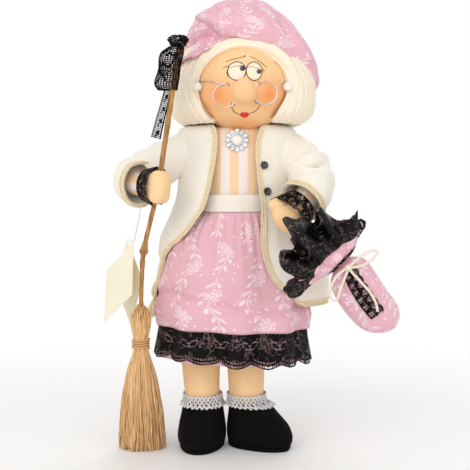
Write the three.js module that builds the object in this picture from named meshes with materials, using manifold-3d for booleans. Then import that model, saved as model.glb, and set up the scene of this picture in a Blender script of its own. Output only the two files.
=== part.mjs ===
// A stuffed cloth doll: an old woman in a cap, coat and skirt, with a straw broom and a drawstring bag.
// Millimetres, +Z up. It faces -Y and stands on Z = 0, and its left hand is on the +X side.
import * as THREE from "three";
import { mergeVertices } from "three/addons/utils/BufferGeometryUtils.js";
import Module from "manifold-3d";

const wasm = await Module();
wasm.setup();

// Gaps between pieces
const seam = 0.4; // between two pieces that are sewn, glued or laid together
const turningGap = 1.2; // round a piece that turns in another
const feltThickness = 2.4;
const cottonThickness = 1.4;
const laceThickness = 1;

// Head
const headWidth = 96;
const headDepth = 92;
const headHeight = 87;
const cheekSwell = 0.04; // share by which the cheeks are wider than an egg
const chinHeight = 312.5;
const headAcross = 2; // towards its left
const headForward = 14;
const neckRadius = 12;
const neckDepth = 24; // how far the neck reaches into the head
const neckDowelRadius = 4;
const neckDowelLength = 70;

// Face and hair
const noseWidth = 21;
const noseHeight = 24;
const noseDepth = 22;
const noseAcross = 1; // from the middle of the face
const noseDrop = 12; // below the middle of the face
const lensRadius = 10.5;
const lensSpacing = 37.5;
const lensAcross = 2.2;
const lensDrop = 13;
const lensTilt = 2.7; // its left lens is this much higher
const glassesWire = 0.8; // radius
const pearlRadius = 4;
const pearlSpacing = 84;
const pearlDrop = 4;
const hairWidth = 136;
const hairDepth = 104;
const hairTop = 403;
const hairBottom = 322.5;
const hairBack = 10; // how far the bob sits behind the middle of the head
const hairlineWidth = 88;
const hairlineHeight = 79;
const hairlineDrop = 5;

// Cap
const capWidth = 134;
const capDepth = 118;
const capTop = 441;
const capAcross = 3; // towards its left, where it droops
const capFrontRim = 396;
const capBackRim = 332;
const capRightRim = 380;
const capLeftRim = 350;
const capGathers = 8;
const capGatherDepth = 2.2;

// Trunk and legs
const trunkAcross = -3; // towards its right
const shoulderHeight = 300; // of the arm's axis
const trunkBottom = 150;
const trunkTop = 317.5;
const hipWidth = 92;
const hipDepth = 68;
const waistHeight = 243;
const waistWidth = 74;
const waistDepth = 66;
const chestWidth = 100;
const chestDepth = 66;
const hipSpread = 40; // between the tops of the legs
const ankleSpread = 47;
const ankleAcross = -14;
const ankleForward = 4;
const legRadius = 19;
const ankleRadius = 17.5;
const legDowelRadius = 4;
const legDowelTop = 205;

// Shoes
const soleThickness = 4;
const shoeTop = 44;
const shoeHalfWidth = 21.5;
const shoeToe = 46; // from the ankle's axis
const shoeHeel = 22;
const shoeWelt = 1.2;
const legInShoe = 14;
const rightToeOut = 8; // degrees
const leftToeOut = 58;
const sockLaceHeight = 10;
const sockLaceFlare = 1.8;

// Skirt
const waistbandHeight = 17;
const waistbandThickness = 2;
const skirtHem = 122;
const skirtHemWidth = 140;
const skirtHemDepth = 112;
const skirtFolds = 9;
const skirtFoldDepth = 2.4;
const flounceOverlap = 10; // how far the lace and petticoat go up inside the skirt
const flounceHem = 90;
const petticoatHem = 86;
const flounceFlare = 3;

// Coat
const coatHem = 137;
const coatHemTilt = 0.07; // the hem rises towards its left
const neckline = 317;
const necklineWidth = 68;
const necklineDepth = 54;
const coatShoulderWidth = 117;
const coatShoulderDepth = 74;
const coatHemWidth = 182;
const coatHemDepth = 136;
const coatFolds = 6;
const coatFoldDepth = 2;
const buttonRadius = 3.8;
const buttonThickness = 2.4;
const buttonFromEdge = 7.5;
const upperButtonHeight = 279;
const buttonSpacing = 25;

// Brooch
const broochRadius = 9.5;
const broochThickness = 2;
const broochStoneRadius = 5.2;
const broochStoneRise = 3.4;
const broochHeight = 303;
const broochGems = 12;
const broochGemRadius = 1.6;

// Arms
const armRadius = 13;
const wristRadius = 10.5;
const sleeveShoulderRadius = 19.8;
const sleeveElbowRadius = 18.5;
const sleeveCuffRadius = 20;
const cuffLaceWidth = 11;
const cuffLaceFlare = 3.2;
const rightCuff = new THREE.Vector3(-94.4, -38, 261);
const rightForearm = new THREE.Vector3(0.73, -0.67, -0.1);
const rightBend = 36; // how far the arm goes out before it turns back
const leftCuff = new THREE.Vector3(58, -52, 245);
const leftForearm = new THREE.Vector3(-0.6, -0.5, -0.63);
const leftBend = 36;
const forearmShows = 13; // from the coat's cuff to the wrist
const rightSwing = 15; // degrees that each arm swings forward
const leftSwing = 40;
const handLength = 23;
const handHeight = 31;
const handThickness = 19;
const thumbRadius = 4.6;

// Broom
const handleRadius = 2.4;
const handleTop = 386;
const handleLean = 0.17; // towards its left, for each millimetre of height
const handlePitch = -0.155; // forwards, for each millimetre of height
const knotRadius = 4.2;
const knotHeight = 182;
const bendBelowKnot = 0.075; // the twig stands more upright below its knot
const bindingHeight = 107;
const bindingRadius = 7.2;
const bindingTurns = 3;
const bindingString = 1; // radius
const bindingPitch = 2.6;
const strawTop = 132;
const strawTopRadius = 9.5;
const strawSpikes = 5;
const strawMiddleHeight = 70;
const strawMiddleRadius = 16.5;
const strawFootRadius = 23.5;
const strawFlatness = 0.72; // depth over width
const strawRows = 10; // straws along each side of the six-sided bundle
const strawShare = 0.8; // share of its room that each straw fills
const broomFoot = 0.6;

// Lace bow on the broom
const bowPuffWidth = 18;
const bowPuffHeight = 12.5;
const bowLoopWidth = 20;
const bowLoopHeight = 37;
const bowLoopDepth = 9;
const bowLoopTop = 383;
const bowTailWidth = 9;
const bowTailLength = 42;
const bowTailLean = 0.24;

// Bag
const bagTie = new THREE.Vector3(94, -74, 191);
const bagTip = new THREE.Vector3(140, -64, 128);
const bagMouth = new THREE.Vector3(77, -83, 191); // middle of the mouth's rim
const bagMouthLean = new THREE.Vector3(0.69, 0, 0.725); // along the rim
const bagMouthBulge = new THREE.Vector3(-18, 0, 25); // how far the rim's sides stand out past its ends
const bagSackWidth = 43;
const bagSackDepth = 32;
const bagNeckRadius = 6;
const bagMouthWidth = 90;
const bagMouthDepth = 22;
const bagGathers = 8;
const bagGatherDepth = 2.6;
const bagLaceStart = 0.45; // share of the mouth's length
const bagStripWidth = 13;
const bagBandWidth = 5;
const bagCordRadius = 1.2;
const bagKnotRadius = 3.2;

// Paper tags on a thread under its right cuff
const tagSize = 60;
const tagThickness = 0.6;
const threadRadius = 0.5;
const frontTagCorner = new THREE.Vector3(-104, -20, 205.5);
const frontTagAcross = new THREE.Vector3(-33, 40, -32);
const frontTagDown = new THREE.Vector3(3, -37, -47.5);
const backTagCorner = new THREE.Vector3(-114, 6, 206);
const backTagAcross = new THREE.Vector3(22.4, -46, -39.2);
const backTagDown = new THREE.Vector3(-20.7, 40, -57.9);

const headCentre = new THREE.Vector3(headAcross, -headForward, chinHeight + headHeight / 2);

// Materials
const cloth = (color) => new THREE.MeshStandardMaterial({ color, roughness: 0.9, metalness: 0 });
const skinCotton = cloth(0xeec190);
const stripedCotton = cloth(0xf0d3b4);
const creamFelt = cloth(0xefe7d8);
const pinkCotton = cloth(0xe3b0b8);
const pinkLining = cloth(0xdfb4b0);
const blackLace = cloth(0x1c1616);
const whiteLace = cloth(0xd8d2c8);
const blackFelt = cloth(0x1d1815);
const creamRibbon = cloth(0xf1e9df);
const whiteWool = cloth(0xf0e4d0);
const straw = cloth(0xc89a64);
const twig = cloth(0xa9794a);
const creamCord = cloth(0xefe0cc);
const paper = cloth(0xf3ecd2);
const dowelWood = cloth(0xcaa878);
const pearl = new THREE.MeshStandardMaterial({ color: 0xf4ecdf, roughness: 0.25, metalness: 0 });
const blackPlastic = new THREE.MeshStandardMaterial({ color: 0x17120f, roughness: 0.3, metalness: 0 });
const silver = new THREE.MeshStandardMaterial({ color: 0xc9c9c9, roughness: 0.25, metalness: 1 });

// Solids and booleans

function solidOf(geometry) {
  const loose = geometry.index ? geometry.toNonIndexed() : geometry;
  const bare = new THREE.BufferGeometry().setAttribute("position", loose.getAttribute("position"));
  const merged = mergeVertices(bare, 1e-4);
  const vertProperties = merged.attributes.position.array;
  const triVerts = new Uint32Array(merged.index.array);
  return new wasm.Manifold(new wasm.Mesh({ numProp: 3, vertProperties, triVerts }));
}

function geometryOf(solid) {
  const mesh = solid.getMesh();
  const made = new THREE.BufferGeometry();
  made.setAttribute("position", new THREE.BufferAttribute(mesh.vertProperties, 3));
  made.setIndex(new THREE.BufferAttribute(mesh.triVerts, 1));
  return made;
}

function largestOf(solid) {
  return solid.decompose().reduce((best, body) => (body.volume() > best.volume() ? body : best));
}

function carve(geometry, ...cutters) {
  const left = cutters.reduce((solid, cutter) => solid.subtract(solidOf(cutter)), solidOf(geometry));
  return geometryOf(largestOf(left));
}

function join(...geometries) {
  return geometryOf(geometries.map(solidOf).reduce((all, solid) => all.add(solid)));
}

// The same shape with its skin moved out, for cutting a piece clear of it.
function grown(geometry, amount) {
  const loose = geometry.index ? geometry.toNonIndexed() : geometry;
  const bare = new THREE.BufferGeometry().setAttribute("position", loose.getAttribute("position"));
  const merged = mergeVertices(bare, 1e-4);
  merged.computeVertexNormals();
  const place = merged.attributes.position;
  const normal = merged.attributes.normal;
  for (let i = 0; i < place.count; i++) {
    place.setXYZ(
      i,
      place.getX(i) + normal.getX(i) * amount,
      place.getY(i) + normal.getY(i) * amount,
      place.getZ(i) + normal.getZ(i) * amount,
    );
  }
  merged.deleteAttribute("normal");
  return merged;
}

function facingOut(points, triangles) {
  let volume = 0;
  for (const [a, b, c] of triangles) volume += points[a].dot(points[b].clone().cross(points[c]));
  const faces = volume < 0 ? triangles.map(([a, b, c]) => [a, c, b]) : triangles;
  const made = new THREE.BufferGeometry().setFromPoints(points);
  made.setIndex(faces.flat());
  return made;
}

// A closed solid through rings of points, with a fan of faces at each end.
function loft(rings) {
  const sides = rings[0].length;
  const points = rings.flat();
  const triangles = [];
  for (let row = 0; row + 1 < rings.length; row++) {
    for (let i = 0; i < sides; i++) {
      const a = row * sides + i;
      const b = row * sides + ((i + 1) % sides);
      triangles.push([a, b, b + sides], [a, b + sides, a + sides]);
    }
  }
  for (const [row, turn] of [[0, true], [rings.length - 1, false]]) {
    const middle = rings[row].reduce((sum, p) => sum.add(p), new THREE.Vector3()).divideScalar(sides);
    points.push(middle);
    for (let i = 0; i < sides; i++) {
      const a = row * sides + i;
      const b = row * sides + ((i + 1) % sides);
      triangles.push(turn ? [b, a, points.length - 1] : [a, b, points.length - 1]);
    }
  }
  return facingOut(points, triangles);
}

// Cloth of even thickness on a surface of (u, v), each from 0 to 1, closed round u or with four edges.
function sheet(surface, uSteps, vSteps, thickness, closedRound) {
  const columns = closedRound ? uSteps : uSteps + 1;
  const small = 1e-3;
  const wrap = (u) => (closedRound ? (u + 1) % 1 : THREE.MathUtils.clamp(u, 0, 1));
  const normalAt = (u, v) => {
    const along = surface(wrap(u + small), v).sub(surface(wrap(u - small), v));
    const down = surface(u, Math.min(v + small, 1)).sub(surface(u, Math.max(v - small, 0)));
    return along.cross(down).normalize();
  };
  const points = [];
  for (const side of [-0.5, 0.5]) {
    for (let j = 0; j <= vSteps; j++) {
      for (let i = 0; i < columns; i++) {
        const u = i / uSteps;
        const v = j / vSteps;
        points.push(surface(u, v).addScaledVector(normalAt(u, v), side * thickness));
      }
    }
  }
  const layer = columns * (vSteps + 1);
  const triangles = [];
  const quad = (a, b, c, d) => triangles.push([a, b, c], [a, c, d]);
  for (let j = 0; j < vSteps; j++) {
    for (let i = 0; i < uSteps; i++) {
      const a = j * columns + i;
      const b = j * columns + ((i + 1) % columns);
      quad(a, b, b + columns, a + columns);
      quad(layer + a, layer + a + columns, layer + b + columns, layer + b);
    }
  }
  for (let i = 0; i < uSteps; i++) {
    const next = (i + 1) % columns;
    const foot = vSteps * columns;
    quad(i, layer + i, layer + next, next);
    quad(foot + next, layer + foot + next, layer + foot + i, foot + i);
  }
  if (!closedRound) {
    for (let j = 0; j < vSteps; j++) {
      const a = j * columns;
      const b = a + columns - 1;
      quad(a + columns, layer + a + columns, layer + a, a);
      quad(b, layer + b, layer + b + columns, b + columns);
    }
  }
  return facingOut(points, triangles);
}

// Values between the rows of a table of [place, value, value, ...], eased smoothly.
function along(table) {
  const at = table.map((row) => row[0]);
  return (place) => {
    let i = 0;
    while (i < at.length - 2 && place > at[i + 1]) i++;
    const share = THREE.MathUtils.clamp((place - at[i]) / (at[i + 1] - at[i]), 0, 1);
    const before = table[Math.max(i - 1, 0)];
    const after = table[Math.min(i + 2, table.length - 1)];
    return table[i].slice(1).map((value, k) => {
      const next = table[i + 1][k + 1];
      const span = at[i + 1] - at[i];
      const startSlope = ((next - before[k + 1]) / (at[i + 1] - before[0])) * span;
      const endSlope = ((after[k + 1] - value) / (after[0] - at[i])) * span;
      const s2 = share * share;
      const s3 = s2 * share;
      return (
        value * (2 * s3 - 3 * s2 + 1) +
        startSlope * (s3 - 2 * s2 + share) +
        next * (3 * s2 - 2 * s3) +
        endSlope * (s3 - s2)
      );
    });
  };
}

const oval = (x, y, z, halfWidth, halfDepth, sides) =>
  Array.from({ length: sides }, (_, i) => {
    const turn = (i / sides) * 2 * Math.PI;
    return new THREE.Vector3(x + halfWidth * Math.cos(turn), y + halfDepth * Math.sin(turn), z);
  });

// Rings square to a path. radiusAt gives the half-widths across and along upHint, which a bent path goes without.
function sweep(path, steps, sides, radiusAt, upHint) {
  const frames = upHint ? null : path.computeFrenetFrames(steps, false);
  const rings = Array.from({ length: steps + 1 }, (_, i) => {
    const share = i / steps;
    const middle = path.getPointAt(share);
    const tangent = path.getTangentAt(share);
    const across = frames ? frames.normals[i] : tangent.clone().cross(upHint).normalize();
    const up = frames ? frames.binormals[i] : across.clone().cross(tangent);
    const [wide, tall] = radiusAt(share);
    return Array.from({ length: sides }, (_, k) => {
      const turn = (k / sides) * 2 * Math.PI;
      return middle
        .clone()
        .addScaledVector(across, wide * Math.cos(turn))
        .addScaledVector(up, tall * Math.sin(turn));
    });
  });
  return loft(rings);
}

function tube(curve, radius, steps, sides) {
  const section = new THREE.Shape(
    Array.from({ length: sides }, (_, i) => {
      const turn = (i / sides) * 2 * Math.PI;
      return new THREE.Vector2(radius * Math.cos(turn), radius * Math.sin(turn));
    }),
  );
  return new THREE.ExtrudeGeometry(section, { steps, extrudePath: curve, bevelEnabled: false });
}

// A cylinder between two points.
function rod(from, to, radius, sides) {
  const way = to.clone().sub(from);
  const made = new THREE.CylinderGeometry(radius, radius, way.length(), sides);
  const turn = new THREE.Quaternion().setFromUnitVectors(new THREE.Vector3(0, 1, 0), way.clone().normalize());
  return made.applyQuaternion(turn).translate(...from.clone().add(to).divideScalar(2).toArray());
}

function ball(x, y, z, halfWidth, halfDepth, halfHeight, sides) {
  const made = new THREE.SphereGeometry(1, sides, Math.round(sides * 0.6));
  return made.rotateX(Math.PI / 2).scale(halfWidth, halfDepth, halfHeight).translate(x, y, z);
}

// Groups: each stands at the point that its pieces turn about

function groupAt(parent, point) {
  const group = new THREE.Group();
  const parentPoint = parent ? parent.userData.point : new THREE.Vector3();
  group.position.copy(point).sub(parentPoint);
  group.userData.point = point.clone();
  if (parent) parent.add(group);
  return group;
}

function addPiece(group, name, geometry, material) {
  const local = geometry.clone().translate(...group.userData.point.clone().negate().toArray());
  local.computeVertexNormals();
  const mesh = new THREE.Mesh(local, material);
  mesh.name = name;
  group.add(mesh);
  return mesh;
}

const doll = groupAt(null, new THREE.Vector3());

// Head: an egg that swells at the cheeks

function headSection(z) {
  const share = (z - headCentre.z) / (headHeight / 2);
  const round = Math.sqrt(Math.max(0, 1 - share * share));
  const swell = 1 + cheekSwell * Math.exp(-(((share + 0.25) / 0.4) ** 2));
  return [(headWidth / 2) * round * swell, (headDepth / 2) * round];
}

function faceFront(x, z) {
  const [halfWidth, halfDepth] = headSection(z);
  const share = Math.min(Math.abs(x - headCentre.x) / halfWidth, 0.98);
  return headCentre.y - halfDepth * Math.sqrt(1 - share * share);
}

function makeHeadBall() {
  const rows = 11;
  const rings = Array.from({ length: rows - 1 }, (_, i) => {
    const z = headCentre.z - (headHeight / 2) * Math.cos(((i + 1) / rows) * Math.PI);
    return oval(headCentre.x, headCentre.y, z, ...headSection(z), 20);
  });
  return loft(rings);
}

const headBall = makeHeadBall();
const neckTop = chinHeight + neckDepth;
const neckAt = (radius, from, to) =>
  rod(
    new THREE.Vector3(headCentre.x, headCentre.y, from),
    new THREE.Vector3(headCentre.x, headCentre.y, to),
    radius,
    16,
  );
const headSocket = neckAt(neckRadius + seam, chinHeight - 5, neckTop + seam);
const headPiece = carve(headBall, headSocket);

// Spectacles: two wire rims that rest on the cheeks, a bridge and two temples that end in the hair

function makeGlasses() {
  const middle = headCentre.x + lensAcross;
  const lensHeight = (side) => headCentre.z - lensDrop + (side * lensTilt) / 2;
  const plane = (side) => {
    const x = middle + (side * lensSpacing) / 2;
    const reach = [-1, -0.5, 0, 0.5, 1].map((k) => faceFront(x + k * lensRadius, lensHeight(side)));
    return Math.min(...reach) - seam - glassesWire;
  };
  const wires = [-1, 1].flatMap((side) => {
    const x = middle + (side * lensSpacing) / 2;
    const y = plane(side);
    const z = lensHeight(side);
    const rim = new THREE.TorusGeometry(lensRadius, glassesWire, 5, 16);
    rim.rotateX(Math.PI / 2).translate(x, y, z);
    const earX = headCentre.x + side * (pearlSpacing / 2 + 1);
    const earZ = headCentre.z - pearlDrop + pearlRadius + 2;
    const temple = new THREE.QuadraticBezierCurve3(
      new THREE.Vector3(x + side * lensRadius, y, z + 1),
      new THREE.Vector3(earX - side * 2, y + 4, earZ),
      new THREE.Vector3(earX + side * 2, faceFront(earX, earZ) - 1, earZ),
    );
    return [rim, tube(temple, glassesWire, 4, 5)];
  });
  const bridgeEnd = (side) =>
    new THREE.Vector3(
      middle + side * (lensSpacing / 2 - lensRadius + glassesWire / 2),
      plane(side),
      lensHeight(side) + 2,
    );
  const bridge = rod(bridgeEnd(-1), bridgeEnd(1), glassesWire, 5);
  return carve(join(...wires, bridge), grown(headBall, seam));
}

const glasses = makeGlasses();

// Nose: a stuffed ball sewn over the bridge of the spectacles

function makeNose() {
  const x = headCentre.x + noseAcross;
  const z = headCentre.z - noseDrop;
  const y = faceFront(x, z) - noseDepth * 0.32;
  const round = ball(x, y, z, noseWidth / 2, noseDepth / 2, noseHeight / 2, 12);
  return carve(round, grown(headBall, seam), grown(glasses, 2 * seam));
}

// Hair: a smooth bob, open at the face

const bobSize = along([
  [0, 0.8],
  [0.1, 0.95],
  [0.28, 1],
  [0.55, 0.97],
  [0.8, 0.8],
  [0.94, 0.5],
  [1, 0.2],
]);

function makeBob() {
  const height = hairTop - hairBottom;
  const shares = [0, 0.1, 0.3, 0.55, 0.75, 0.9, 1];
  const rings = shares.map((share) => {
    const [size] = bobSize(share);
    const z = hairBottom + share * height;
    return oval(headCentre.x, headCentre.y + hairBack, z, (hairWidth / 2) * size, (hairDepth / 2) * size, 18);
  });
  return loft(rings);
}

const bob = makeBob();

function makeHair() {
  const window = new THREE.CylinderGeometry(1, 1, headDepth, 20);
  window.scale(hairlineWidth / 2, 1, hairlineHeight / 2);
  window.translate(headCentre.x + 1, headCentre.y - headDepth / 2 - 6, headCentre.z - hairlineDrop);
  const neckHole = neckAt(neckRadius + turningGap, hairBottom - 5, neckTop);
  return carve(bob, grown(headBall, seam), window, neckHole, grown(glasses, seam));
}

const hair = makeHair();

// The front of the hair where it covers the face, and of the face in the hair's opening
function lookFront(x, z) {
  const across = (x - headCentre.x - 1) / (hairlineWidth / 2);
  const up = (z - headCentre.z + hairlineDrop) / (hairlineHeight / 2);
  if (Math.hypot(across, up) < 1) return faceFront(x, z);
  const [size] = bobSize((z - hairBottom) / (hairTop - hairBottom));
  const share = Math.min(Math.abs(x - headCentre.x) / ((hairWidth / 2) * size), 0.98);
  return headCentre.y + hairBack - (hairDepth / 2) * size * Math.sqrt(1 - share * share);
}

function makePearl(side) {
  const x = headCentre.x + (side * pearlSpacing) / 2;
  const z = headCentre.z - pearlDrop;
  const y = lookFront(x, z) - pearlRadius * 0.8;
  const round = ball(x, y, z, pearlRadius, pearlRadius, pearlRadius, 8);
  return carve(round, grown(headBall, seam), grown(hair, seam), grown(glasses, seam));
}

// Cap: a soft crown gathered at its rim, which is high over the forehead and droops to its left and back

function makeCap() {
  const middle = (capFrontRim + capBackRim + capRightRim + capLeftRim) / 4;
  const sideways = (capLeftRim - capRightRim) / 2;
  const backwards = (capBackRim - capFrontRim) / 2;
  const saddle = (capLeftRim + capRightRim - capFrontRim - capBackRim) / 4;
  // How far it reaches to its right, left, front and back, as shares of the width and depth
  const reach = along([
    [0, 0.448, 0.507, 0.381, 0.441],
    [0.1, 0.418, 0.537, 0.407, 0.492],
    [0.28, 0.388, 0.463, 0.415, 0.492],
    [0.46, 0.358, 0.343, 0.356, 0.424],
    [0.66, 0.239, 0.224, 0.263, 0.314],
    [0.86, 0.104, 0.112, 0.136, 0.153],
    [1, 0.03, 0.03, 0.03, 0.03],
  ]);
  const shares = [0, 0.1, 0.28, 0.46, 0.66, 0.86, 1];
  const sides = 24;
  const rings = shares.map((share) => {
    const [right, left, front, back] = reach(share);
    const rise = Math.sin((share * Math.PI) / 2);
    return Array.from({ length: sides }, (_, i) => {
      const turn = (i / sides) * 2 * Math.PI;
      const rim =
        middle + sideways * Math.cos(turn) + backwards * Math.sin(turn) + saddle * Math.cos(2 * turn);
      const gather = capGatherDepth * Math.cos(capGathers * turn) * (1 - share) ** 2;
      const across = capWidth * (Math.cos(turn) > 0 ? left : right) + gather;
      const deep = capDepth * (Math.sin(turn) > 0 ? back : front) + gather;
      return new THREE.Vector3(
        headCentre.x + capAcross + across * Math.cos(turn),
        headCentre.y + hairBack + 2 + deep * Math.sin(turn),
        rim + (capTop - rim) * rise,
      );
    });
  });
  return carve(loft(rings), grown(bob, seam), grown(headBall, seam), grown(glasses, seam));
}

const headGroup = groupAt(doll, new THREE.Vector3(headCentre.x, headCentre.y, chinHeight));
addPiece(headGroup, "head", headPiece, skinCotton);
addPiece(headGroup, "nose", makeNose(), skinCotton);
addPiece(headGroup, "hair", hair, whiteWool);
addPiece(headGroup, "cap", makeCap(), pinkCotton);
addPiece(headGroup, "spectacles", glasses, silver);
addPiece(headGroup, "earring_right", makePearl(-1), pearl);
addPiece(headGroup, "earring_left", makePearl(1), pearl);

// Coat: one wrap of felt from front edge to front edge, over the shoulders, with two armholes

const coatSections = along([
  [0, neckline + feltThickness / 2, necklineWidth / 2, necklineDepth / 2],
  [0.1, neckline - 1, coatShoulderWidth / 2 - 4, coatShoulderDepth / 2 - 5],
  [0.16, neckline - 9, coatShoulderWidth / 2, coatShoulderDepth / 2 - 2],
  [0.3, shoulderHeight - 20, coatShoulderWidth / 2 - 5, coatShoulderDepth / 2 + 2],
  [0.48, waistHeight, coatShoulderWidth / 2 - 3, coatShoulderDepth / 2 + 6],
  [0.74, (waistHeight + coatHem) / 2, coatHemWidth * 0.46, coatHemDepth * 0.43],
  [1, coatHem, coatHemWidth / 2, coatHemDepth / 2],
]);

// Where the front edges run across its body, from the neck to the hem
const rightEdge = along([
  [0, -30],
  [0.16, -22],
  [0.3, -24],
  [0.5, -35],
  [0.73, -47],
  [0.84, -65],
  [1, -80],
]);
const leftEdge = along([
  [0, 26],
  [0.2, 15],
  [0.34, 16],
  [0.5, 23],
  [0.73, 26],
  [0.87, 38],
  [1, 70],
]);

function coatSurface(u, v) {
  const [z, halfWidth, halfDepth] = coatSections(v);
  const edgeTurn = (x) => Math.asin(THREE.MathUtils.clamp((x - trunkAcross) / halfWidth, -1, 1));
  const start = -Math.PI / 2 + edgeTurn(rightEdge(v)[0]);
  const end = -Math.PI / 2 + edgeTurn(leftEdge(v)[0]);
  const turn = start - u * (start - end + 2 * Math.PI);
  const fold = coatFoldDepth * Math.cos(coatFolds * turn) * v * v;
  const x = trunkAcross + (halfWidth + fold) * Math.cos(turn);
  return new THREE.Vector3(x, (halfDepth + fold) * Math.sin(turn), z + coatHemTilt * x * v ** 3);
}

const coatRows = 9;
const coatCloth = sheet(coatSurface, 24, coatRows, feltThickness, false);
const armholes = rod(
  new THREE.Vector3(trunkAcross - coatShoulderWidth, 0, shoulderHeight),
  new THREE.Vector3(trunkAcross + coatShoulderWidth, 0, shoulderHeight),
  armRadius + turningGap,
  16,
);
const coat = carve(coatCloth, armholes, grown(headBall, turningGap));

const waistbandTop = waistHeight + waistbandHeight / 2;
const waistbandFoot = waistHeight - waistbandHeight / 2;

// Trunk: one stuffed body from the hips to the shoulders, with the neck on top

const trunkSection = along([
  [trunkBottom, hipWidth * 0.3, hipDepth * 0.3],
  [trunkBottom + 12, hipWidth * 0.46, hipDepth * 0.46],
  [trunkBottom + 35, hipWidth / 2, hipDepth / 2],
  [waistHeight, waistWidth / 2, waistDepth / 2],
  [shoulderHeight - 14, chestWidth / 2 - 2, chestDepth / 2],
  [shoulderHeight, chestWidth / 2, chestDepth / 2 - 1],
  [trunkTop - 6, chestWidth / 2 - 2, chestDepth / 2 - 4],
  [trunkTop, chestWidth * 0.4, chestDepth * 0.36],
]);

function makeTrunk() {
  const heights = [
    trunkBottom,
    trunkBottom + 10,
    trunkBottom + 32,
    trunkBottom + 60,
    waistbandFoot,
    waistbandTop,
    (waistbandTop + shoulderHeight) / 2,
    shoulderHeight,
    trunkTop - 5,
    trunkTop,
  ];
  const rings = heights.map((z) => oval(trunkAcross, 0, z, ...trunkSection(z), 18));
  const neck = neckAt(neckRadius, trunkTop - 20, neckTop);
  const clearOfHead = carve(loft(rings), grown(headBall, turningGap));
  const withNeck = join(clearOfHead, neck);
  const dowelHole = neckAt(neckDowelRadius + seam, neckTop - neckDowelLength, neckTop + 5);
  const legHoles = [-1, 1].map((side) => legLine(side, legDowelRadius + seam, soleThickness, legDowelTop + seam));
  return carve(withNeck, grown(coatCloth, seam), dowelHole, ...legHoles);
}

// Legs: straight from the hips to the ankles, on wooden dowels that stand on the soles

const hipAt = (side) => new THREE.Vector3(trunkAcross + (side * hipSpread) / 2, 0, trunkBottom + 14);
const ankleAt = (side) =>
  new THREE.Vector3(ankleAcross + (side * ankleSpread) / 2, -ankleForward, shoeTop);

function onLeg(side, z) {
  const share = (z - shoeTop) / (hipAt(side).z - shoeTop);
  return ankleAt(side).lerp(hipAt(side), share);
}

function legLine(side, radius, from, to) {
  return rod(onLeg(side, from), onLeg(side, to), radius, 8);
}

function makeLeg(side, trunk) {
  const foot = onLeg(side, shoeTop - legInShoe);
  const top = onLeg(side, trunkBottom + 30);
  const path = new THREE.LineCurve3(foot, top);
  const calf = along([
    [0, ankleRadius],
    [0.25, ankleRadius],
    [0.6, legRadius + 1],
    [1, legRadius],
  ]);
  const leg = sweep(path, 4, 14, (share) => [calf(share)[0], calf(share)[0]], new THREE.Vector3(0, 1, 0));
  return carve(leg, grown(trunk, seam), legLine(side, legDowelRadius + seam, 0, legDowelTop));
}

const trunk = makeTrunk();
addPiece(doll, "trunk", trunk, stripedCotton);
addPiece(doll, "neck_dowel", neckAt(neckDowelRadius, neckTop - neckDowelLength + seam, neckTop), dowelWood);

// Shoes: egg-shaped felt uppers on stiff soles, turned out from the ankles

const shoeTurn = { [-1]: -rightToeOut, 1: leftToeOut };

function shoeRing(halfWidth, toe, heel, z) {
  const sides = 16;
  return Array.from({ length: sides }, (_, i) => {
    const turn = (i / sides) * 2 * Math.PI;
    const across = halfWidth * Math.cos(turn) * (1 - 0.12 * Math.max(0, Math.sin(turn)));
    return new THREE.Vector3(across, (Math.sin(turn) < 0 ? toe : heel) * Math.sin(turn), z);
  });
}

function turnedShoe(side, geometry) {
  const ankle = ankleAt(side);
  return geometry.rotateZ(THREE.MathUtils.degToRad(shoeTurn[side])).translate(ankle.x, ankle.y, 0);
}

function makeShoe(side, leg) {
  const rise = shoeTop - soleThickness - seam;
  const rings = [
    [0, 1, 1, 1],
    [0.16, 1.05, 1.03, 1.03],
    [0.4, 1.02, 0.96, 1.02],
    [0.7, 0.95, 0.7, 0.97],
    [1, 0.92, 0.5, 0.94],
  ].map(([share, wide, toe, heel]) =>
    shoeRing(shoeHalfWidth * wide, shoeToe * toe, shoeHeel * heel, soleThickness + seam + share * rise),
  );
  const upper = turnedShoe(side, loft(rings));
  const dowelHole = legLine(side, legDowelRadius + seam, 0, shoeTop);
  return carve(upper, grown(leg, seam), dowelHole);
}

function makeSole(side) {
  const rings = [0, soleThickness].map((z) =>
    shoeRing(shoeHalfWidth + shoeWelt, shoeToe + shoeWelt, shoeHeel + shoeWelt, z),
  );
  return turnedShoe(side, loft(rings));
}

// Lace frill round the ankle, just over the shoe
function makeSockLace(side) {
  const waves = 11;
  const top = shoeTop + sockLaceHeight;
  const surface = (u, v) => {
    const turn = u * 2 * Math.PI;
    const z = top - v * (sockLaceHeight - laceThickness);
    const middle = onLeg(side, z);
    const ripple = 0.6 * v * Math.cos(waves * turn);
    const radius = ankleRadius + 1 + seam + laceThickness + sockLaceFlare * v + ripple;
    return middle.add(new THREE.Vector3(radius * Math.cos(turn), radius * Math.sin(turn), 0));
  };
  return sheet(surface, waves * 2, 1, laceThickness, true);
}

for (const [side, word] of [[-1, "right"], [1, "left"]]) {
  const leg = makeLeg(side, trunk);
  const dowel = legLine(side, legDowelRadius, soleThickness + seam + 0.6, legDowelTop);
  addPiece(doll, `leg_${word}`, leg, skinCotton);
  addPiece(doll, `leg_dowel_${word}`, dowel, dowelWood);
  addPiece(doll, `shoe_${word}`, makeShoe(side, leg), blackFelt);
  addPiece(doll, `sole_${word}`, makeSole(side), blackFelt);
  addPiece(doll, `sock_lace_${word}`, makeSockLace(side), whiteLace);
}

// Skirt: waistband, gathered skirt, and a lace flounce over a petticoat under its hem

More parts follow.
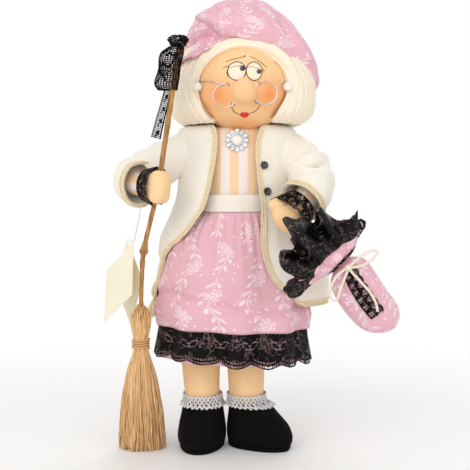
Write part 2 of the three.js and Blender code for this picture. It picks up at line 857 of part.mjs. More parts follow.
function waistbandSurface(u, v) {
  const turn = u * 2 * Math.PI;
  const z = waistbandTop - v * waistbandHeight;
  const [halfWidth, halfDepth] = trunkSection(z);
  const out = seam + waistbandThickness / 2;
  const x = trunkAcross + (halfWidth + out) * Math.cos(turn);
  return new THREE.Vector3(x, (halfDepth + out) * Math.sin(turn), z);
}

const skirtTop = waistbandFoot - seam;
const skirtSection = along([
  [flounceHem, skirtHemWidth / 2 + flounceFlare, skirtHemDepth / 2 + flounceFlare],
  [skirtHem, skirtHemWidth / 2, skirtHemDepth / 2],
  [skirtHem + 14, skirtHemWidth / 2 + 1.5, skirtHemDepth / 2 + 1.5],
  [(skirtHem + skirtTop) / 2, skirtHemWidth * 0.42, skirtHemDepth * 0.44],
  [skirtTop - 14, waistWidth / 2 + 9, waistDepth / 2 + 8],
  [skirtTop, waistWidth / 2 + seam + waistbandThickness, waistDepth / 2 + seam + waistbandThickness],
]);

// A layer of the skirt with rows at the given heights, inset from the skirt's own cloth. All layers share the folds.
function skirtLayer(heights, inset, scallops, thickness) {
  const rows = heights.length - 1;
  const surface = (u, v) => {
    const turn = u * 2 * Math.PI;
    const row = Math.min(Math.floor(v * rows), rows - 1);
    const level = THREE.MathUtils.lerp(heights[row], heights[row + 1], v * rows - row);
    const atHem = Math.max(0, v * rows - rows + 1);
    const z = level + scallops * atHem * Math.abs(Math.sin((skirtFolds + 2) * turn));
    const [halfWidth, halfDepth] = skirtSection(z);
    const share = THREE.MathUtils.clamp((skirtTop - z) / (skirtTop - skirtHem), 0, 1);
    const fold = skirtFoldDepth * share * Math.cos(skirtFolds * turn + 1.5 * share) - inset;
    const x = trunkAcross + (halfWidth + fold) * Math.cos(turn);
    return new THREE.Vector3(x, (halfDepth + fold) * Math.sin(turn), z);
  };
  return sheet(surface, 36, rows, thickness, true);
}

const flounceInset = cottonThickness / 2 + seam * 1.5 + laceThickness / 2;
const petticoatInset = flounceInset + laceThickness / 2 + seam * 1.5 + laceThickness / 2;
const flounceTop = skirtHem + flounceOverlap;
addPiece(doll, "waistband", sheet(waistbandSurface, 18, 1, waistbandThickness, true), creamRibbon);
const skirtFall = (share) => THREE.MathUtils.lerp(skirtTop, skirtHem, share);
const skirtRows = [skirtTop, skirtFall(0.125), skirtFall(0.4), skirtFall(0.75), flounceTop, skirtHem];
const skirt = skirtLayer(skirtRows, 0, 0, cottonThickness);
const skirtLace = skirtLayer([flounceTop, skirtHem, flounceHem], flounceInset, 3, laceThickness);
const petticoat = skirtLayer([flounceTop, skirtHem, petticoatHem], petticoatInset, 0, laceThickness);
addPiece(doll, "skirt", skirt, pinkCotton);
addPiece(doll, "skirt_lace", skirtLace, blackLace);
addPiece(doll, "petticoat", petticoat, pinkLining);
addPiece(doll, "coat", coat, creamFelt);

// Buttons on the coat's left front, square to the felt

function coatShare(height) {
  let low = 0;
  let high = 1;
  for (let i = 0; i < 30; i++) {
    const middle = (low + high) / 2;
    if (coatSections(middle)[0] > height) low = middle;
    else high = middle;
  }
  return low;
}

function makeButton(height) {
  const v = coatShare(height);
  const edge = coatSurface(1, v);
  let u = 1;
  while (coatSurface(u, v).distanceTo(edge) < buttonFromEdge) u -= 0.002;
  const place = coatSurface(u, v);
  const across = coatSurface(u + 0.01, v).sub(coatSurface(u - 0.01, v));
  const down = coatSurface(u, v + 0.01).sub(coatSurface(u, v - 0.01));
  const out = across.cross(down).normalize();
  if (out.y > 0) out.negate();
  const rimHeight = buttonThickness * 0.7;
  const profile = [
    [0, 0],
    [buttonRadius * 0.9, 0],
    [buttonRadius, rimHeight * 0.5],
    [buttonRadius * 0.92, buttonThickness],
    [buttonRadius * 0.7, buttonThickness],
    [buttonRadius * 0.55, rimHeight],
    [0, rimHeight],
  ].map(([radius, rise]) => new THREE.Vector2(radius, rise));
  const button = new THREE.Mesh(new THREE.LatheGeometry(profile, 12), blackPlastic);
  button.position.copy(place).addScaledVector(out, feltThickness / 2 + seam);
  button.quaternion.setFromUnitVectors(new THREE.Vector3(0, 1, 0), out);
  return button;
}

for (const [name, height] of [["coat_button_upper", upperButtonHeight], ["coat_button_lower", upperButtonHeight - buttonSpacing]]) {
  const button = makeButton(height);
  button.name = name;
  doll.add(button);
}

// Brooch: a ring of small gems on a round plate, and a domed stone

const broochBack = -trunkSection(broochHeight)[1] - seam;

function makeBroochSetting() {
  const plate = new THREE.CylinderGeometry(broochRadius - 1, broochRadius - 1, broochThickness, 18);
  plate.translate(trunkAcross, broochBack - broochThickness / 2, broochHeight);
  const gems = Array.from({ length: broochGems }, (_, i) => {
    const turn = (i / broochGems) * 2 * Math.PI;
    const out = broochRadius - broochGemRadius * 0.6;
    const gem = new THREE.OctahedronGeometry(broochGemRadius);
    const x = trunkAcross + out * Math.cos(turn);
    return gem.translate(x, broochBack - broochThickness, broochHeight + out * Math.sin(turn));
  });
  return join(plate, ...gems);
}

function makeBroochStone(setting) {
  const base = broochBack - broochThickness - seam;
  const dome = [0, 1, 2, 3, 4].map((i) => {
    const turn = (i / 4) * (Math.PI / 2);
    return new THREE.Vector2(broochStoneRadius * Math.cos(turn), broochStoneRise * Math.sin(turn));
  });
  const profile = [new THREE.Vector2(0, 0), ...dome];
  profile[profile.length - 1].x = 0;
  const stone = new THREE.LatheGeometry(profile, 12).rotateX(Math.PI / 2).translate(trunkAcross, base, broochHeight);
  return carve(stone, grown(setting, seam));
}

const broochSetting = makeBroochSetting();
addPiece(doll, "brooch_setting", broochSetting, silver);
addPiece(doll, "brooch_stone", makeBroochStone(broochSetting), pearl);

// Arms: a stub through the armhole, then a bent arm in a striped sleeve, inside the coat's wide sleeve

const armStart = chestWidth / 2 + seam;

function armPaths(side, cuff, forearm, bendReach) {
  const way = forearm.clone().normalize();
  const stubEnd = new THREE.Vector3(trunkAcross + side * armStart, 0, shoulderHeight);
  const bend = new THREE.CubicBezierCurve3(
    stubEnd,
    stubEnd.clone().add(new THREE.Vector3(side * bendReach, 0, 0)),
    cuff.clone().addScaledVector(way, -bendReach),
    cuff,
  );
  const wrist = cuff.clone().addScaledVector(way, forearmShows);
  const arm = new THREE.CurvePath();
  arm.add(bend);
  arm.add(new THREE.LineCurve3(cuff, wrist));
  return { bend, arm, wrist, way, stubEnd };
}

const armSize = along([
  [0, armRadius],
  [0.85, armRadius],
  [1, wristRadius],
]);
const sleeveSize = along([
  [0, sleeveShoulderRadius],
  [0.5, sleeveElbowRadius],
  [1, sleeveCuffRadius],
]);

// The coat as one solid, turned as the sleeve sees it when the arm swings
const coatRings = [0, 1, 2, 3, 4, 5].map((row) => {
  const [z, halfWidth, halfDepth] = coatSections(row / coatRows);
  return oval(trunkAcross, 0, z, halfWidth, halfDepth, 24);
});
function coatTurned(degrees) {
  const turned = grown(loft(coatRings), feltThickness / 2 + 2.6 * seam).translate(0, 0, -shoulderHeight);
  return turned.rotateX(THREE.MathUtils.degToRad(degrees)).translate(0, 0, shoulderHeight);
}

// The sleeve's root follows the coat, clear of it over the whole swing.
function makeSleeve(bend, swing) {
  const steps = 6;
  const frames = bend.computeFrenetFrames(steps, false);
  const surface = (u, v) => {
    const turn = u * 2 * Math.PI;
    const [radius] = sleeveSize(v);
    const row = Math.round(v * steps);
    return bend
      .getPointAt(v)
      .addScaledVector(frames.normals[row], radius * Math.cos(turn))
      .addScaledVector(frames.binormals[row], radius * Math.sin(turn));
  };
  const sleeve = sheet(surface, 14, steps, feltThickness, true);
  return carve(sleeve, ...[0, 0.25, 0.5, 0.75, 1].map((share) => coatTurned(share * swing)));
}

// A frill of black lace round the wrist, wider towards the hand
function makeCuffLace({ wrist, way }) {
  const across = way.clone().cross(new THREE.Vector3(0, 0, 1)).normalize();
  const up = across.clone().cross(way);
  const waves = 7;
  const surface = (u, v) => {
    const turn = u * 2 * Math.PI;
    const inner = wristRadius + 2.4;
    const radius = inner + cuffLaceFlare * v + 1.2 * v * Math.cos(waves * turn);
    return wrist
      .clone()
      .addScaledVector(way, -forearmShows / 2 + v * cuffLaceWidth)
      .addScaledVector(across, radius * Math.cos(turn))
      .addScaledVector(up, radius * Math.sin(turn));
  };
  return sheet(surface, waves * 2, 1, laceThickness, true);
}

// A mitten with a thumb, sewn to the end of the arm
function makeHand({ wrist, way }, thumbRise) {
  const start = wrist.clone().addScaledVector(way, seam);
  const tip = start.clone().addScaledVector(way, handLength);
  const size = along([
    [0, 0.6],
    [0.25, 0.9],
    [0.6, 1],
    [0.85, 0.8],
    [1, 0.35],
  ]);
  const radiusAt = (share) => [(handThickness / 2) * size(share)[0], (handHeight / 2) * size(share)[0]];
  const mitten = sweep(new THREE.LineCurve3(start, tip), 5, 12, radiusAt, new THREE.Vector3(0, 0, 1));
  const thumbAt = start.clone().lerp(tip, 0.55).add(new THREE.Vector3(-4, -handThickness * 0.25, thumbRise));
  const thumb = ball(...thumbAt.toArray(), thumbRadius * 1.5, thumbRadius, thumbRadius, 8);
  return join(mitten, thumb);
}

const rightArm = armPaths(-1, rightCuff, rightForearm, rightBend);
const leftArm = armPaths(1, leftCuff, leftForearm, leftBend);
const rightArmGroup = groupAt(doll, rightArm.stubEnd);
const leftArmGroup = groupAt(doll, leftArm.stubEnd);

// Broom: a twig through the right hand, and a bundle of straws tied round its foot

const grip = rightArm.wrist.clone().addScaledVector(rightArm.way, handLength / 2);

function onHandle(z) {
  const below = Math.max(0, knotHeight - z) * bendBelowKnot;
  return new THREE.Vector3(
    grip.x + handleLean * (z - grip.z) + below,
    grip.y + handlePitch * (z - grip.z),
    z,
  );
}

function makeHandle(radius) {
  const foot = bindingHeight - bindingTurns * bindingPitch;
  const rings = [foot, knotHeight, handleTop].map((z) => oval(...onHandle(z).toArray(), radius, radius, 8));
  const stick = loft(rings);
  const knot = onHandle(knotHeight);
  return join(stick, ball(knot.x, knot.y, knot.z, knotRadius, knotRadius, knotRadius * 1.4, 7));
}

const handle = makeHandle(handleRadius);
const grownHandle = makeHandle(handleRadius + seam);

// The bundle's section is a grid of triangles in a hexagon, counted along q and r and drawn out to a circle.
const ringOf = (q, r) => Math.max(Math.abs(q), Math.abs(r), Math.abs(q + r));

function bundlePoint(q, r, z, radius) {
  const flat = new THREE.Vector2(q + r / 2, (r * Math.sqrt(3)) / 2);
  const ring = ringOf(q, r);
  if (ring > 0) flat.setLength((ring / strawRows) * radius);
  return onHandle(z).add(new THREE.Vector3(flat.x, flat.y * strawFlatness, 0));
}

// Every second triangle of the grid grows down into a straw, which fans out and never crosses its neighbours.
// The outer straws bend at the middle, and the inner ones are straight.
// The waist above them is their backing, and ends in a crown of spikes over the binding.
function makeStraws() {
  const waist = bindingRadius * Math.cos(Math.PI / 12) - (bindingString + seam) / strawFlatness;
  const backing = bindingHeight - (bindingTurns * bindingPitch) / 2 - bindingString - 3;
  const points = [];
  const triangles = [];
  const onGrid = new Map();
  const inside = ([q, r]) => ringOf(q, r) <= strawRows;
  const corner = ([q, r]) => {
    const key = `${q},${r}`;
    if (!onGrid.has(key)) onGrid.set(key, points.push(bundlePoint(q, r, backing, waist)) - 1);
    return onGrid.get(key);
  };
  const growStraw = (cell) => {
    let ring = cell.map(corner);
    const bends = cell.some(([q, r]) => ringOf(q, r) >= strawRows * 0.8);
    const levels = [[broomFoot, strawFootRadius]];
    if (bends) levels.unshift([strawMiddleHeight, strawMiddleRadius]);
    for (const [z, radius] of levels) {
      const places = cell.map(([q, r]) => bundlePoint(q, r, z, radius));
      const middle = places.reduce((sum, p) => sum.add(p), new THREE.Vector3()).divideScalar(3);
      const next = places.map((p) => points.push(middle.clone().lerp(p, strawShare)) - 1);
      ring.forEach((a, k) => {
        const b = ring[(k + 1) % 3];
        triangles.push([a, b, next[(k + 1) % 3]], [a, next[(k + 1) % 3], next[k]]);
      });
      ring = next;
    }
    triangles.push(ring);
  };
  for (let q = -strawRows; q < strawRows; q++) {
    for (let r = -strawRows; r < strawRows; r++) {
      const strand = [[q, r], [q + 1, r], [q, r + 1]];
      const between = [[q + 1, r], [q + 1, r + 1], [q, r + 1]];
      if (strand.every(inside)) growStraw(strand);
      if (between.every(inside)) triangles.push(between.map(corner));
    }
  }
  const sides = [[1, 0], [0, 1], [-1, 1], [-1, 0], [0, -1], [1, -1]];
  const edge = sides.flatMap(([q, r], i) => {
    const [nextQ, nextR] = sides[(i + 1) % 6];
    return Array.from({ length: strawRows }, (_, k) => [
      q * (strawRows - k) + nextQ * k,
      r * (strawRows - k) + nextR * k,
    ]);
  });
  const levels = [
    [bindingHeight + (bindingTurns * bindingPitch) / 2 + bindingString, waist, 0],
    [strawTop - strawSpikes, strawTopRadius, strawSpikes],
    [strawTop - 2 * strawSpikes, strawTopRadius * 0.6, 0],
  ];
  let ring = edge.map(corner);
  for (const [z, radius, spike] of levels) {
    const next = edge.map(([q, r], k) => points.push(bundlePoint(q, r, z + spike * (k % 2), radius)) - 1);
    ring.forEach((a, k) => {
      const after = (k + 1) % ring.length;
      triangles.push([a, next[after], ring[after]], [a, next[k], next[after]]);
    });
    ring = next;
  }
  const crown = points.push(onHandle(strawTop - 2 * strawSpikes)) - 1;
  ring.forEach((a, k) => triangles.push([a, crown, ring[(k + 1) % ring.length]]));
  return carve(facingOut(points, triangles), grownHandle);
}

// String wound round the bundle in one unbroken tube
function makeBinding() {
  const perTurn = 12;
  const sides = 5;
  const low = bindingHeight - (bindingTurns * bindingPitch) / 2;
  const count = bindingTurns * perTurn;
  const centres = Array.from({ length: count + 1 }, (_, i) => {
    const turn = (i / perTurn) * 2 * Math.PI;
    const z = low + (i / perTurn) * bindingPitch;
    return onHandle(z).add(
      new THREE.Vector3(bindingRadius * Math.cos(turn), bindingRadius * strawFlatness * Math.sin(turn), 0),
    );
  });
  const straightOn = (end, before) => end.clone().sub(before).setLength(2 * bindingString).add(end);
  centres.unshift(straightOn(centres[0], centres[1]));
  centres.push(straightOn(centres[centres.length - 1], centres[centres.length - 2]));
  let least = Infinity;
  centres.forEach((p, i) => {
    for (let k = i + perTurn / 2; k < centres.length; k++) least = Math.min(least, p.distanceTo(centres[k]));
  });
  console.log(`binding string: least gap to itself ${(least - 2 * bindingString).toFixed(2)} mm`);
  const rings = centres.map((p, i) => {
    const tangent = centres[Math.min(i + 1, centres.length - 1)].clone().sub(centres[Math.max(i - 1, 0)]);
    const out = tangent.clone().cross(new THREE.Vector3(0, 0, 1)).normalize();
    const up = out.clone().cross(tangent).normalize();
    return Array.from({ length: sides }, (_, k) => {
      const turn = (k / sides) * 2 * Math.PI;
      return p
        .clone()
        .addScaledVector(out, bindingString * Math.cos(turn))
        .addScaledVector(up, bindingString * Math.sin(turn));
    });
  });
  return loft(rings);
}

// Lace ribbon tied near the top of the twig: two puffs over the top, a wide loop and a tail on its right side
function makeBowPuff() {
  const top = onHandle(handleTop);
  const lobes = [-1, 1].map((side) =>
    ball(
      top.x + (side * bowPuffWidth) / 4,
      top.y,
      top.z + bowPuffHeight * 0.3,
      bowPuffWidth * 0.3,
      bowPuffWidth * 0.28,
      bowPuffHeight / 2,
      8,
    ),
  );
  return carve(join(...lobes), grownHandle);
}

function bowLoopSurface(u, v) {
  const turn = u * 2 * Math.PI;
  const z = bowLoopTop - v * bowLoopHeight;
  const fullness = 0.55 + 0.45 * Math.sin(Math.PI * Math.min(1, 0.15 + v));
  const halfWidth = (bowLoopWidth / 2) * fullness;
  const beside = handleRadius + seam + laceThickness / 2 + halfWidth;
  const middle = onHandle(z);
  return new THREE.Vector3(
    middle.x - beside + halfWidth * Math.cos(turn),
    middle.y + (bowLoopDepth / 2) * Math.sin(turn),
    z,
  );
}

function bowTailSurface(u, v) {
  const top = onHandle(bowLoopTop - bowLoopHeight - seam);
  const z = top.z - v * bowTailLength;
  const x = top.x - handleRadius - seam - laceThickness - bowTailWidth * (1 - u) - bowTailLean * v * bowTailLength;
  return new THREE.Vector3(x, top.y + 1.5 * Math.sin(3 * v + 2 * u), z);
}

const broomGroup = groupAt(rightArmGroup, grip);
addPiece(broomGroup, "broom_handle", handle, twig);
addPiece(broomGroup, "broom_straws", makeStraws(), straw);
addPiece(broomGroup, "broom_binding", makeBinding(), straw);
addPiece(broomGroup, "broom_bow_puff", makeBowPuff(), blackLace);
addPiece(broomGroup, "broom_bow_loop", sheet(bowLoopSurface, 12, 3, laceThickness, true), blackLace);
addPiece(broomGroup, "broom_bow_tail", sheet(bowTailSurface, 2, 5, laceThickness, false), blackLace);

// The arms' own pieces: the right hand is bored for the twig
const hands = {
  right: carve(makeHand(rightArm, -handHeight * 0.2), grownHandle),
  left: makeHand(leftArm, handHeight * 0.35),
};
for (const [word, paths, group, swing] of [
  ["right", rightArm, rightArmGroup, rightSwing],
  ["left", leftArm, leftArmGroup, leftSwing],
]) {
  const size = (share) => [armSize(share)[0], armSize(share)[0]];
  const arm = sweep(paths.arm, 10, 12, size);
  addPiece(group, `arm_${word}`, arm, stripedCotton);
  addPiece(group, `sleeve_${word}`, makeSleeve(paths.bend, swing), creamFelt);
  addPiece(group, `cuff_lace_${word}`, carve(makeCuffLace(paths), grown(hands[word], seam)), blackLace);
  addPiece(group, `hand_${word}`, hands[word], skinCotton);
}

// Bag: a stuffed sack tied at its neck, with a wide gathered mouth edged in black lace

const bagGroup = groupAt(leftArmGroup, leftArm.wrist);
const bagAxis = (to) => to.clone().sub(bagTie);
const sackLine = new THREE.LineCurve3(bagTie, bagTip);
const sackSize = along([
  [0, bagNeckRadius / (bagSackWidth / 2)],
  [0.12, 0.62],
  [0.3, 0.92],
  [0.58, 1],
  [0.82, 0.86],
  [0.95, 0.55],
  [1, 0.3],
]);
const depthWay = new THREE.Vector3(0, 1, 0);

function acrossAndUp(way) {
  const across = way.clone().cross(depthWay).normalize();
  return [across, across.clone().cross(way)];
}

function sackPoint(share, turn, out) {
  const [across, up] = acrossAndUp(bagAxis(bagTip).normalize());
  const [size] = sackSize(share);
  return sackLine
    .getPoint(share)
    .addScaledVector(across, ((bagSackWidth / 2) * size + out) * Math.cos(turn))
    .addScaledVector(up, ((bagSackDepth / 2) * size + out) * Math.sin(turn));
}

function makeSack() {
  const sides = 14;
  const rings = [0, 0.1, 0.26, 0.5, 0.72, 0.88, 1].map((share) =>
    Array.from({ length: sides }, (_, i) => sackPoint(share, (i / sides) * 2 * Math.PI, 0)),
  );
  const neck = ball(bagTie.x, bagTie.y, bagTie.z, bagNeckRadius, bagNeckRadius, bagNeckRadius, 8);
  return join(loft(rings), neck);
}

// The mouth fans out from the tie to a wide, flat, wavy rim. out moves a layer outside the cotton.
function mouthPoint(share, turn) {
  const spread = share ** 0.8;
  const neck = bagNeckRadius + seam + cottonThickness;
  const wave = bagGatherDepth * share * share * Math.cos(bagGathers * turn);
  const halfWidth = neck + (bagMouthWidth / 2 - neck) * spread + wave;
  const halfDepth = neck + (bagMouthDepth / 2 - neck) * spread + wave;
  return bagTie
    .clone()
    .addScaledVector(bagAxis(bagMouth), share)
    .addScaledVector(bagMouthBulge, share * share * Math.sin(turn) ** 2)
    .addScaledVector(bagMouthLean, halfWidth * Math.cos(turn))
    .addScaledVector(depthWay, halfDepth * Math.sin(turn));
}

// out is how far the sheet lies outside the mouth's own cloth
function mouthSurface(from, to, out) {
  return (u, v) => {
    const share = from + (to - from) * v;
    const turn = u * 2 * Math.PI;
    const here = mouthPoint(share, turn);
    const alongRim = mouthPoint(share, turn + 0.01).sub(here);
    const outward = alongRim.cross(mouthPoint(share + 0.01, turn).sub(here)).normalize();
    return here.addScaledVector(outward, out);
  };
}

const bagSack = makeSack();
const mouthCloth = sheet(mouthSurface(0.02, 1, 0), 24, 3, cottonThickness, true);
const laceOut = 2 * (cottonThickness / 2 + laceThickness / 2 + seam);
const mouthLace = sheet(mouthSurface(bagLaceStart, 1.1, laceOut), 24, 2, laceThickness, true);
const bandShare = bagBandWidth / bagAxis(bagMouth).length();
const mouthBand = sheet(mouthSurface(0.14, 0.14 + bandShare, laceOut), 12, 1, laceThickness, true);
const stripSurface = (u, v) => {
  const share = 0.16 + 0.66 * v;
  const halfTurn = bagStripWidth / 2 / ((bagSackWidth / 2) * sackSize(share)[0]);
  return sackPoint(share, -Math.PI / 2 + (2 * u - 1) * halfTurn, seam + laceThickness / 2);
};

// The cord's bow lies on the sack's neck: a knot, two loops and a tail, which all leave the knot square to it.
const bagKnot = sackPoint(0.055, -Math.PI / 2, bagKnotRadius + 2 * seam);
const cordFrom = (x, y, z) => bagKnot.clone().add(new THREE.Vector3(x, y, z));
const knotFace = (x, y, z) =>
  new THREE.Vector3(x, y, z).setLength(bagKnotRadius + seam).toArray();
const cordRoutes = {
  bag_cord_upper: [
    knotFace(1, -0.3, 0.1),
    [13, -3, 3],
    [23, -2, 10],
    [25, -2, 15],
    [18, -2, 15],
    [9, -2, 9],
    knotFace(0.6, -0.1, 0.8),
  ],
  bag_cord_lower: [
    knotFace(-1, -0.3, -0.3),
    [-12, -5, -8],
    [-17, -5, -19],
    [-16, -5, -27],
    [-11, -5, -28],
    [-7, -5, -16],
    knotFace(-0.4, -0.5, -1),
  ],
  bag_cord_tail: [
    knotFace(0.5, -0.6, -0.8),
    [9, -8, -11],
    [17, -11, -20],
    [23, -9, -30],
    [25, -7, -38],
  ],
};

addPiece(bagGroup, "bag_sack", bagSack, pinkCotton);
addPiece(bagGroup, "bag_mouth", carve(mouthCloth, grown(bagSack, seam)), pinkCotton);
addPiece(bagGroup, "bag_lace", mouthLace, blackLace);
addPiece(bagGroup, "bag_band", mouthBand, blackLace);
addPiece(bagGroup, "bag_strip", sheet(stripSurface, 3, 5, laceThickness, false), blackLace);
const knotBall = ball(bagKnot.x, bagKnot.y, bagKnot.z, bagKnotRadius, bagKnotRadius, bagKnotRadius, 8);
addPiece(bagGroup, "bag_cord_knot", knotBall, creamCord);
for (const [name, route] of Object.entries(cordRoutes)) {
  const curve = new THREE.CatmullRomCurve3(route.map((point) => cordFrom(...point)));
  addPiece(bagGroup, name, tube(curve, bagCordRadius, 10, 8), creamCord);
}

// Two bare cards on a thread from the underside of the right cuff

function makeTag(corner, across, down) {
  const wide = across.clone().normalize();
  const normal = wide.clone().cross(down).normalize();
  const high = normal.clone().cross(wide);
  const card = new THREE.Mesh(new THREE.BoxGeometry(tagSize, tagSize, tagThickness), paper);
  card.quaternion.setFromRotationMatrix(new THREE.Matrix4().makeBasis(wide, high, normal));
  card.position.copy(corner).addScaledVector(wide, tagSize / 2).addScaledVector(high, tagSize / 2);
  return card;
}

const threadTop = rightCuff
  .clone()
  .add(new THREE.Vector3(0, 0, -sleeveCuffRadius - feltThickness / 2 + 3.4));
const tagGroup = groupAt(rightArmGroup, threadTop);
const threadRoute = [
  threadTop,
  new THREE.Vector3(-97, -35, 228),
  new THREE.Vector3(-100.5, -28, 216),
  frontTagCorner.clone().add(new THREE.Vector3(0.55, 0.55, 0.55)),
  new THREE.Vector3(-108, -6, 204.5),
  backTagCorner.clone().add(new THREE.Vector3(0.65, 0, 0.65)),
];
addPiece(tagGroup, "tag_thread", tube(new THREE.CatmullRomCurve3(threadRoute), threadRadius, 14, 8), creamCord);
for (const [name, corner, across, down] of [
  ["tag_front", frontTagCorner, frontTagAcross, frontTagDown],
  ["tag_back", backTagCorner, backTagAcross, backTagDown],
]) {
  const card = makeTag(corner, across, down);
  card.name = name;
  card.position.sub(threadTop);
  tagGroup.add(card);
}

// The origin is on the floor, under the middle of the doll without its hanging tags
doll.updateMatrixWorld(true);
const reach = new THREE.Box3();
doll.traverse((object) => {
  if (object.isMesh && !object.name.startsWith("tag_")) reach.expandByObject(object, true);
});
const middle = reach.getCenter(new THREE.Vector3());
doll.position.set(-middle.x, -middle.y, -reach.min.z);

export default doll;
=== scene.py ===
import bmesh
import bpy
import random
from functools import partial
from math import acos, asin, atan, atan2, copysign, cos, exp, floor, hypot, pi, radians, sin, sqrt
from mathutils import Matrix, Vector, noise


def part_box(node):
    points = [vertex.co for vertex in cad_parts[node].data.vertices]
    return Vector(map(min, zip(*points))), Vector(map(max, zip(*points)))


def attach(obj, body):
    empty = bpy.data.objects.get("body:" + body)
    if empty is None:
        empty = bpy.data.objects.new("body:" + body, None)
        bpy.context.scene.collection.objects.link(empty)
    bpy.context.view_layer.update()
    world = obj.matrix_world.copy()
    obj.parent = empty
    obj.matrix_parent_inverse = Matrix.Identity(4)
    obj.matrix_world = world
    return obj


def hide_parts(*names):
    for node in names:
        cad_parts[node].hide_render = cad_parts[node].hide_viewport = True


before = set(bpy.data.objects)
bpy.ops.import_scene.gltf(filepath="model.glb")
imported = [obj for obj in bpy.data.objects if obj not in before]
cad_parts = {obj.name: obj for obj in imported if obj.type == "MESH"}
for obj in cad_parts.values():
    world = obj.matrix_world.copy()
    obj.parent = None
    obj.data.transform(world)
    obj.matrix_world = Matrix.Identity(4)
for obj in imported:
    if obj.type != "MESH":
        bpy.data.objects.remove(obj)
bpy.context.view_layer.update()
scene = bpy.context.scene
dice = random.Random(7)

# The doll's own millimetres: x to its left, y to its back, z up from the floor
neck = {"x": 2, "y": -14}
dowelLow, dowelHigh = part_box("neck_dowel")
shift = Vector((
    (dowelLow[0] + dowelHigh[0]) / 2 - neck["x"] / 1000,
    (dowelLow[1] + dowelHigh[1]) / 2 - neck["y"] / 1000,
    0,
))
trunkAcross = -3  # the clothes hang about this x


def at(x, y, z):
    return Vector((x, y, z)) / 1000 + shift


# Small helpers

def deselectAll():
    bpy.ops.object.select_all(action="DESELECT")


def activate(piece):
    deselectAll()
    piece.select_set(True)
    bpy.context.view_layer.objects.active = piece


def finishWith(piece, kind, **settings):
    activate(piece)
    modifier = piece.modifiers.new(kind.title(), kind)
    for name, value in settings.items():
        setattr(modifier, name, value)
    bpy.ops.object.modifier_apply(modifier=modifier.name)


def clamp(value, low=0.0, high=1.0):
    return max(low, min(high, value))


def wander(x, y, z=0.0):
    return noise.noise(Vector((x, y, z)))


def ringWander(turn, size, z=0.0):
    # the same at both ends of a full turn
    return wander(cos(turn) * size, sin(turn) * size, z)


def hump(away, width, power=2):
    # 1 in the middle, fading out at about width
    return exp(-((away / width) ** power))


def drawnEnds(v, low, high):
    # the share of the length between two drawn-in ends, and the ends' shrinking
    return clamp((v - low) / (1 - low - high)), min(1, v / low, (1 - v) / high)


def along(table):
    # eases smoothly between rows of (place, value, value, ...)
    places = [row[0] for row in table]

    def values(place):
        i = 0
        while i < len(table) - 2 and place > places[i + 1]:
            i += 1
        span = places[i + 1] - places[i]
        s = clamp((place - places[i]) / span)
        before = table[max(i - 1, 0)]
        after = table[min(i + 2, len(table) - 1)]
        result = []
        for k in range(1, len(table[0])):
            first, second = table[i][k], table[i + 1][k]
            startSlope = (second - before[k]) / (places[i + 1] - before[0]) * span
            endSlope = (after[k] - first) / (after[0] - places[i]) * span
            result.append(
                first * (2 * s ** 3 - 3 * s ** 2 + 1)
                + startSlope * (s ** 3 - 2 * s ** 2 + s)
                + second * (3 * s ** 2 - 2 * s ** 3)
                + endSlope * (s ** 3 - s ** 2)
            )
        return result

    return values


def weld(piece):
    activate(piece)
    bpy.ops.object.mode_set(mode="EDIT")
    bpy.ops.mesh.select_all(action="SELECT")
    bpy.ops.mesh.remove_doubles(threshold=1e-6)
    bpy.ops.mesh.normals_make_consistent(inside=False)
    bpy.ops.object.mode_set(mode="OBJECT")


def clothGrid(name, columns, rows, surface, flat, joined=False):
    # a flat grid, cut to flat = (width, length) in mm, laid on surface(u, v)
    deselectAll()
    bpy.ops.mesh.primitive_grid_add(x_subdivisions=columns, y_subdivisions=rows, size=1)
    piece = bpy.context.object
    piece.name = name
    mesh = piece.data
    mesh.name = name
    places = [(vertex.co.x + 0.5, vertex.co.y + 0.5) for vertex in mesh.vertices]
    uvLayer = mesh.uv_layers.active.data
    for loop in mesh.loops:
        u, v = places[loop.vertex_index]
        uvLayer[loop.index].uv = (u * flat[0] / 1000, v * flat[1] / 1000)
    for vertex, (u, v) in zip(mesh.vertices, places):
        vertex.co = at(*surface(u, v))
    if joined:
        weld(piece)
    bpy.ops.object.shade_smooth()
    return piece


def thicken(piece, thickness, rounded):
    finishWith(piece, "SOLIDIFY", thickness=thickness / 1000, offset=0)
    if rounded:
        finishWith(piece, "SUBSURF", levels=1, render_levels=1)


def paint(piece, finish):
    piece.data.materials.clear()
    piece.data.materials.append(finish)


def dress(piece, body, finish, *nodes):
    paint(piece, finish)
    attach(piece, body)
    if nodes:
        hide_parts(*nodes)
    return piece


def makeSheet(name, counts, surface, cut, body, finish, node, thickness, joined=True,
              rounded=False):
    # cut is the size of the UV map
    piece = clothGrid(name, *counts, surface, cut, joined)
    thicken(piece, thickness, rounded)
    dress(piece, body, finish, node)
    return piece


def makePadded(name, counts, surface, cut, body, finish, node):
    piece = clothGrid(name, *counts, surface, cut, joined=True)
    dress(piece, body, finish, node)
    return piece


def smoothPath(points, perSpan):
    # a smooth run through the points
    path = [Vector(p) for p in points]
    result = []
    for i in range(len(path) - 1):
        p0, p1, p2 = path[max(i - 1, 0)], path[i], path[i + 1]
        p3 = path[min(i + 2, len(path) - 1)]
        for k in range(perSpan):
            t = k / perSpan
            result.append(0.5 * (
                2 * p1 + (p2 - p0) * t
                + (2 * p0 - 5 * p1 + 4 * p2 - p3) * t * t
                + (3 * p1 - p0 - 3 * p2 + p3) * t ** 3
            ))
    result.append(path[-1])
    return result


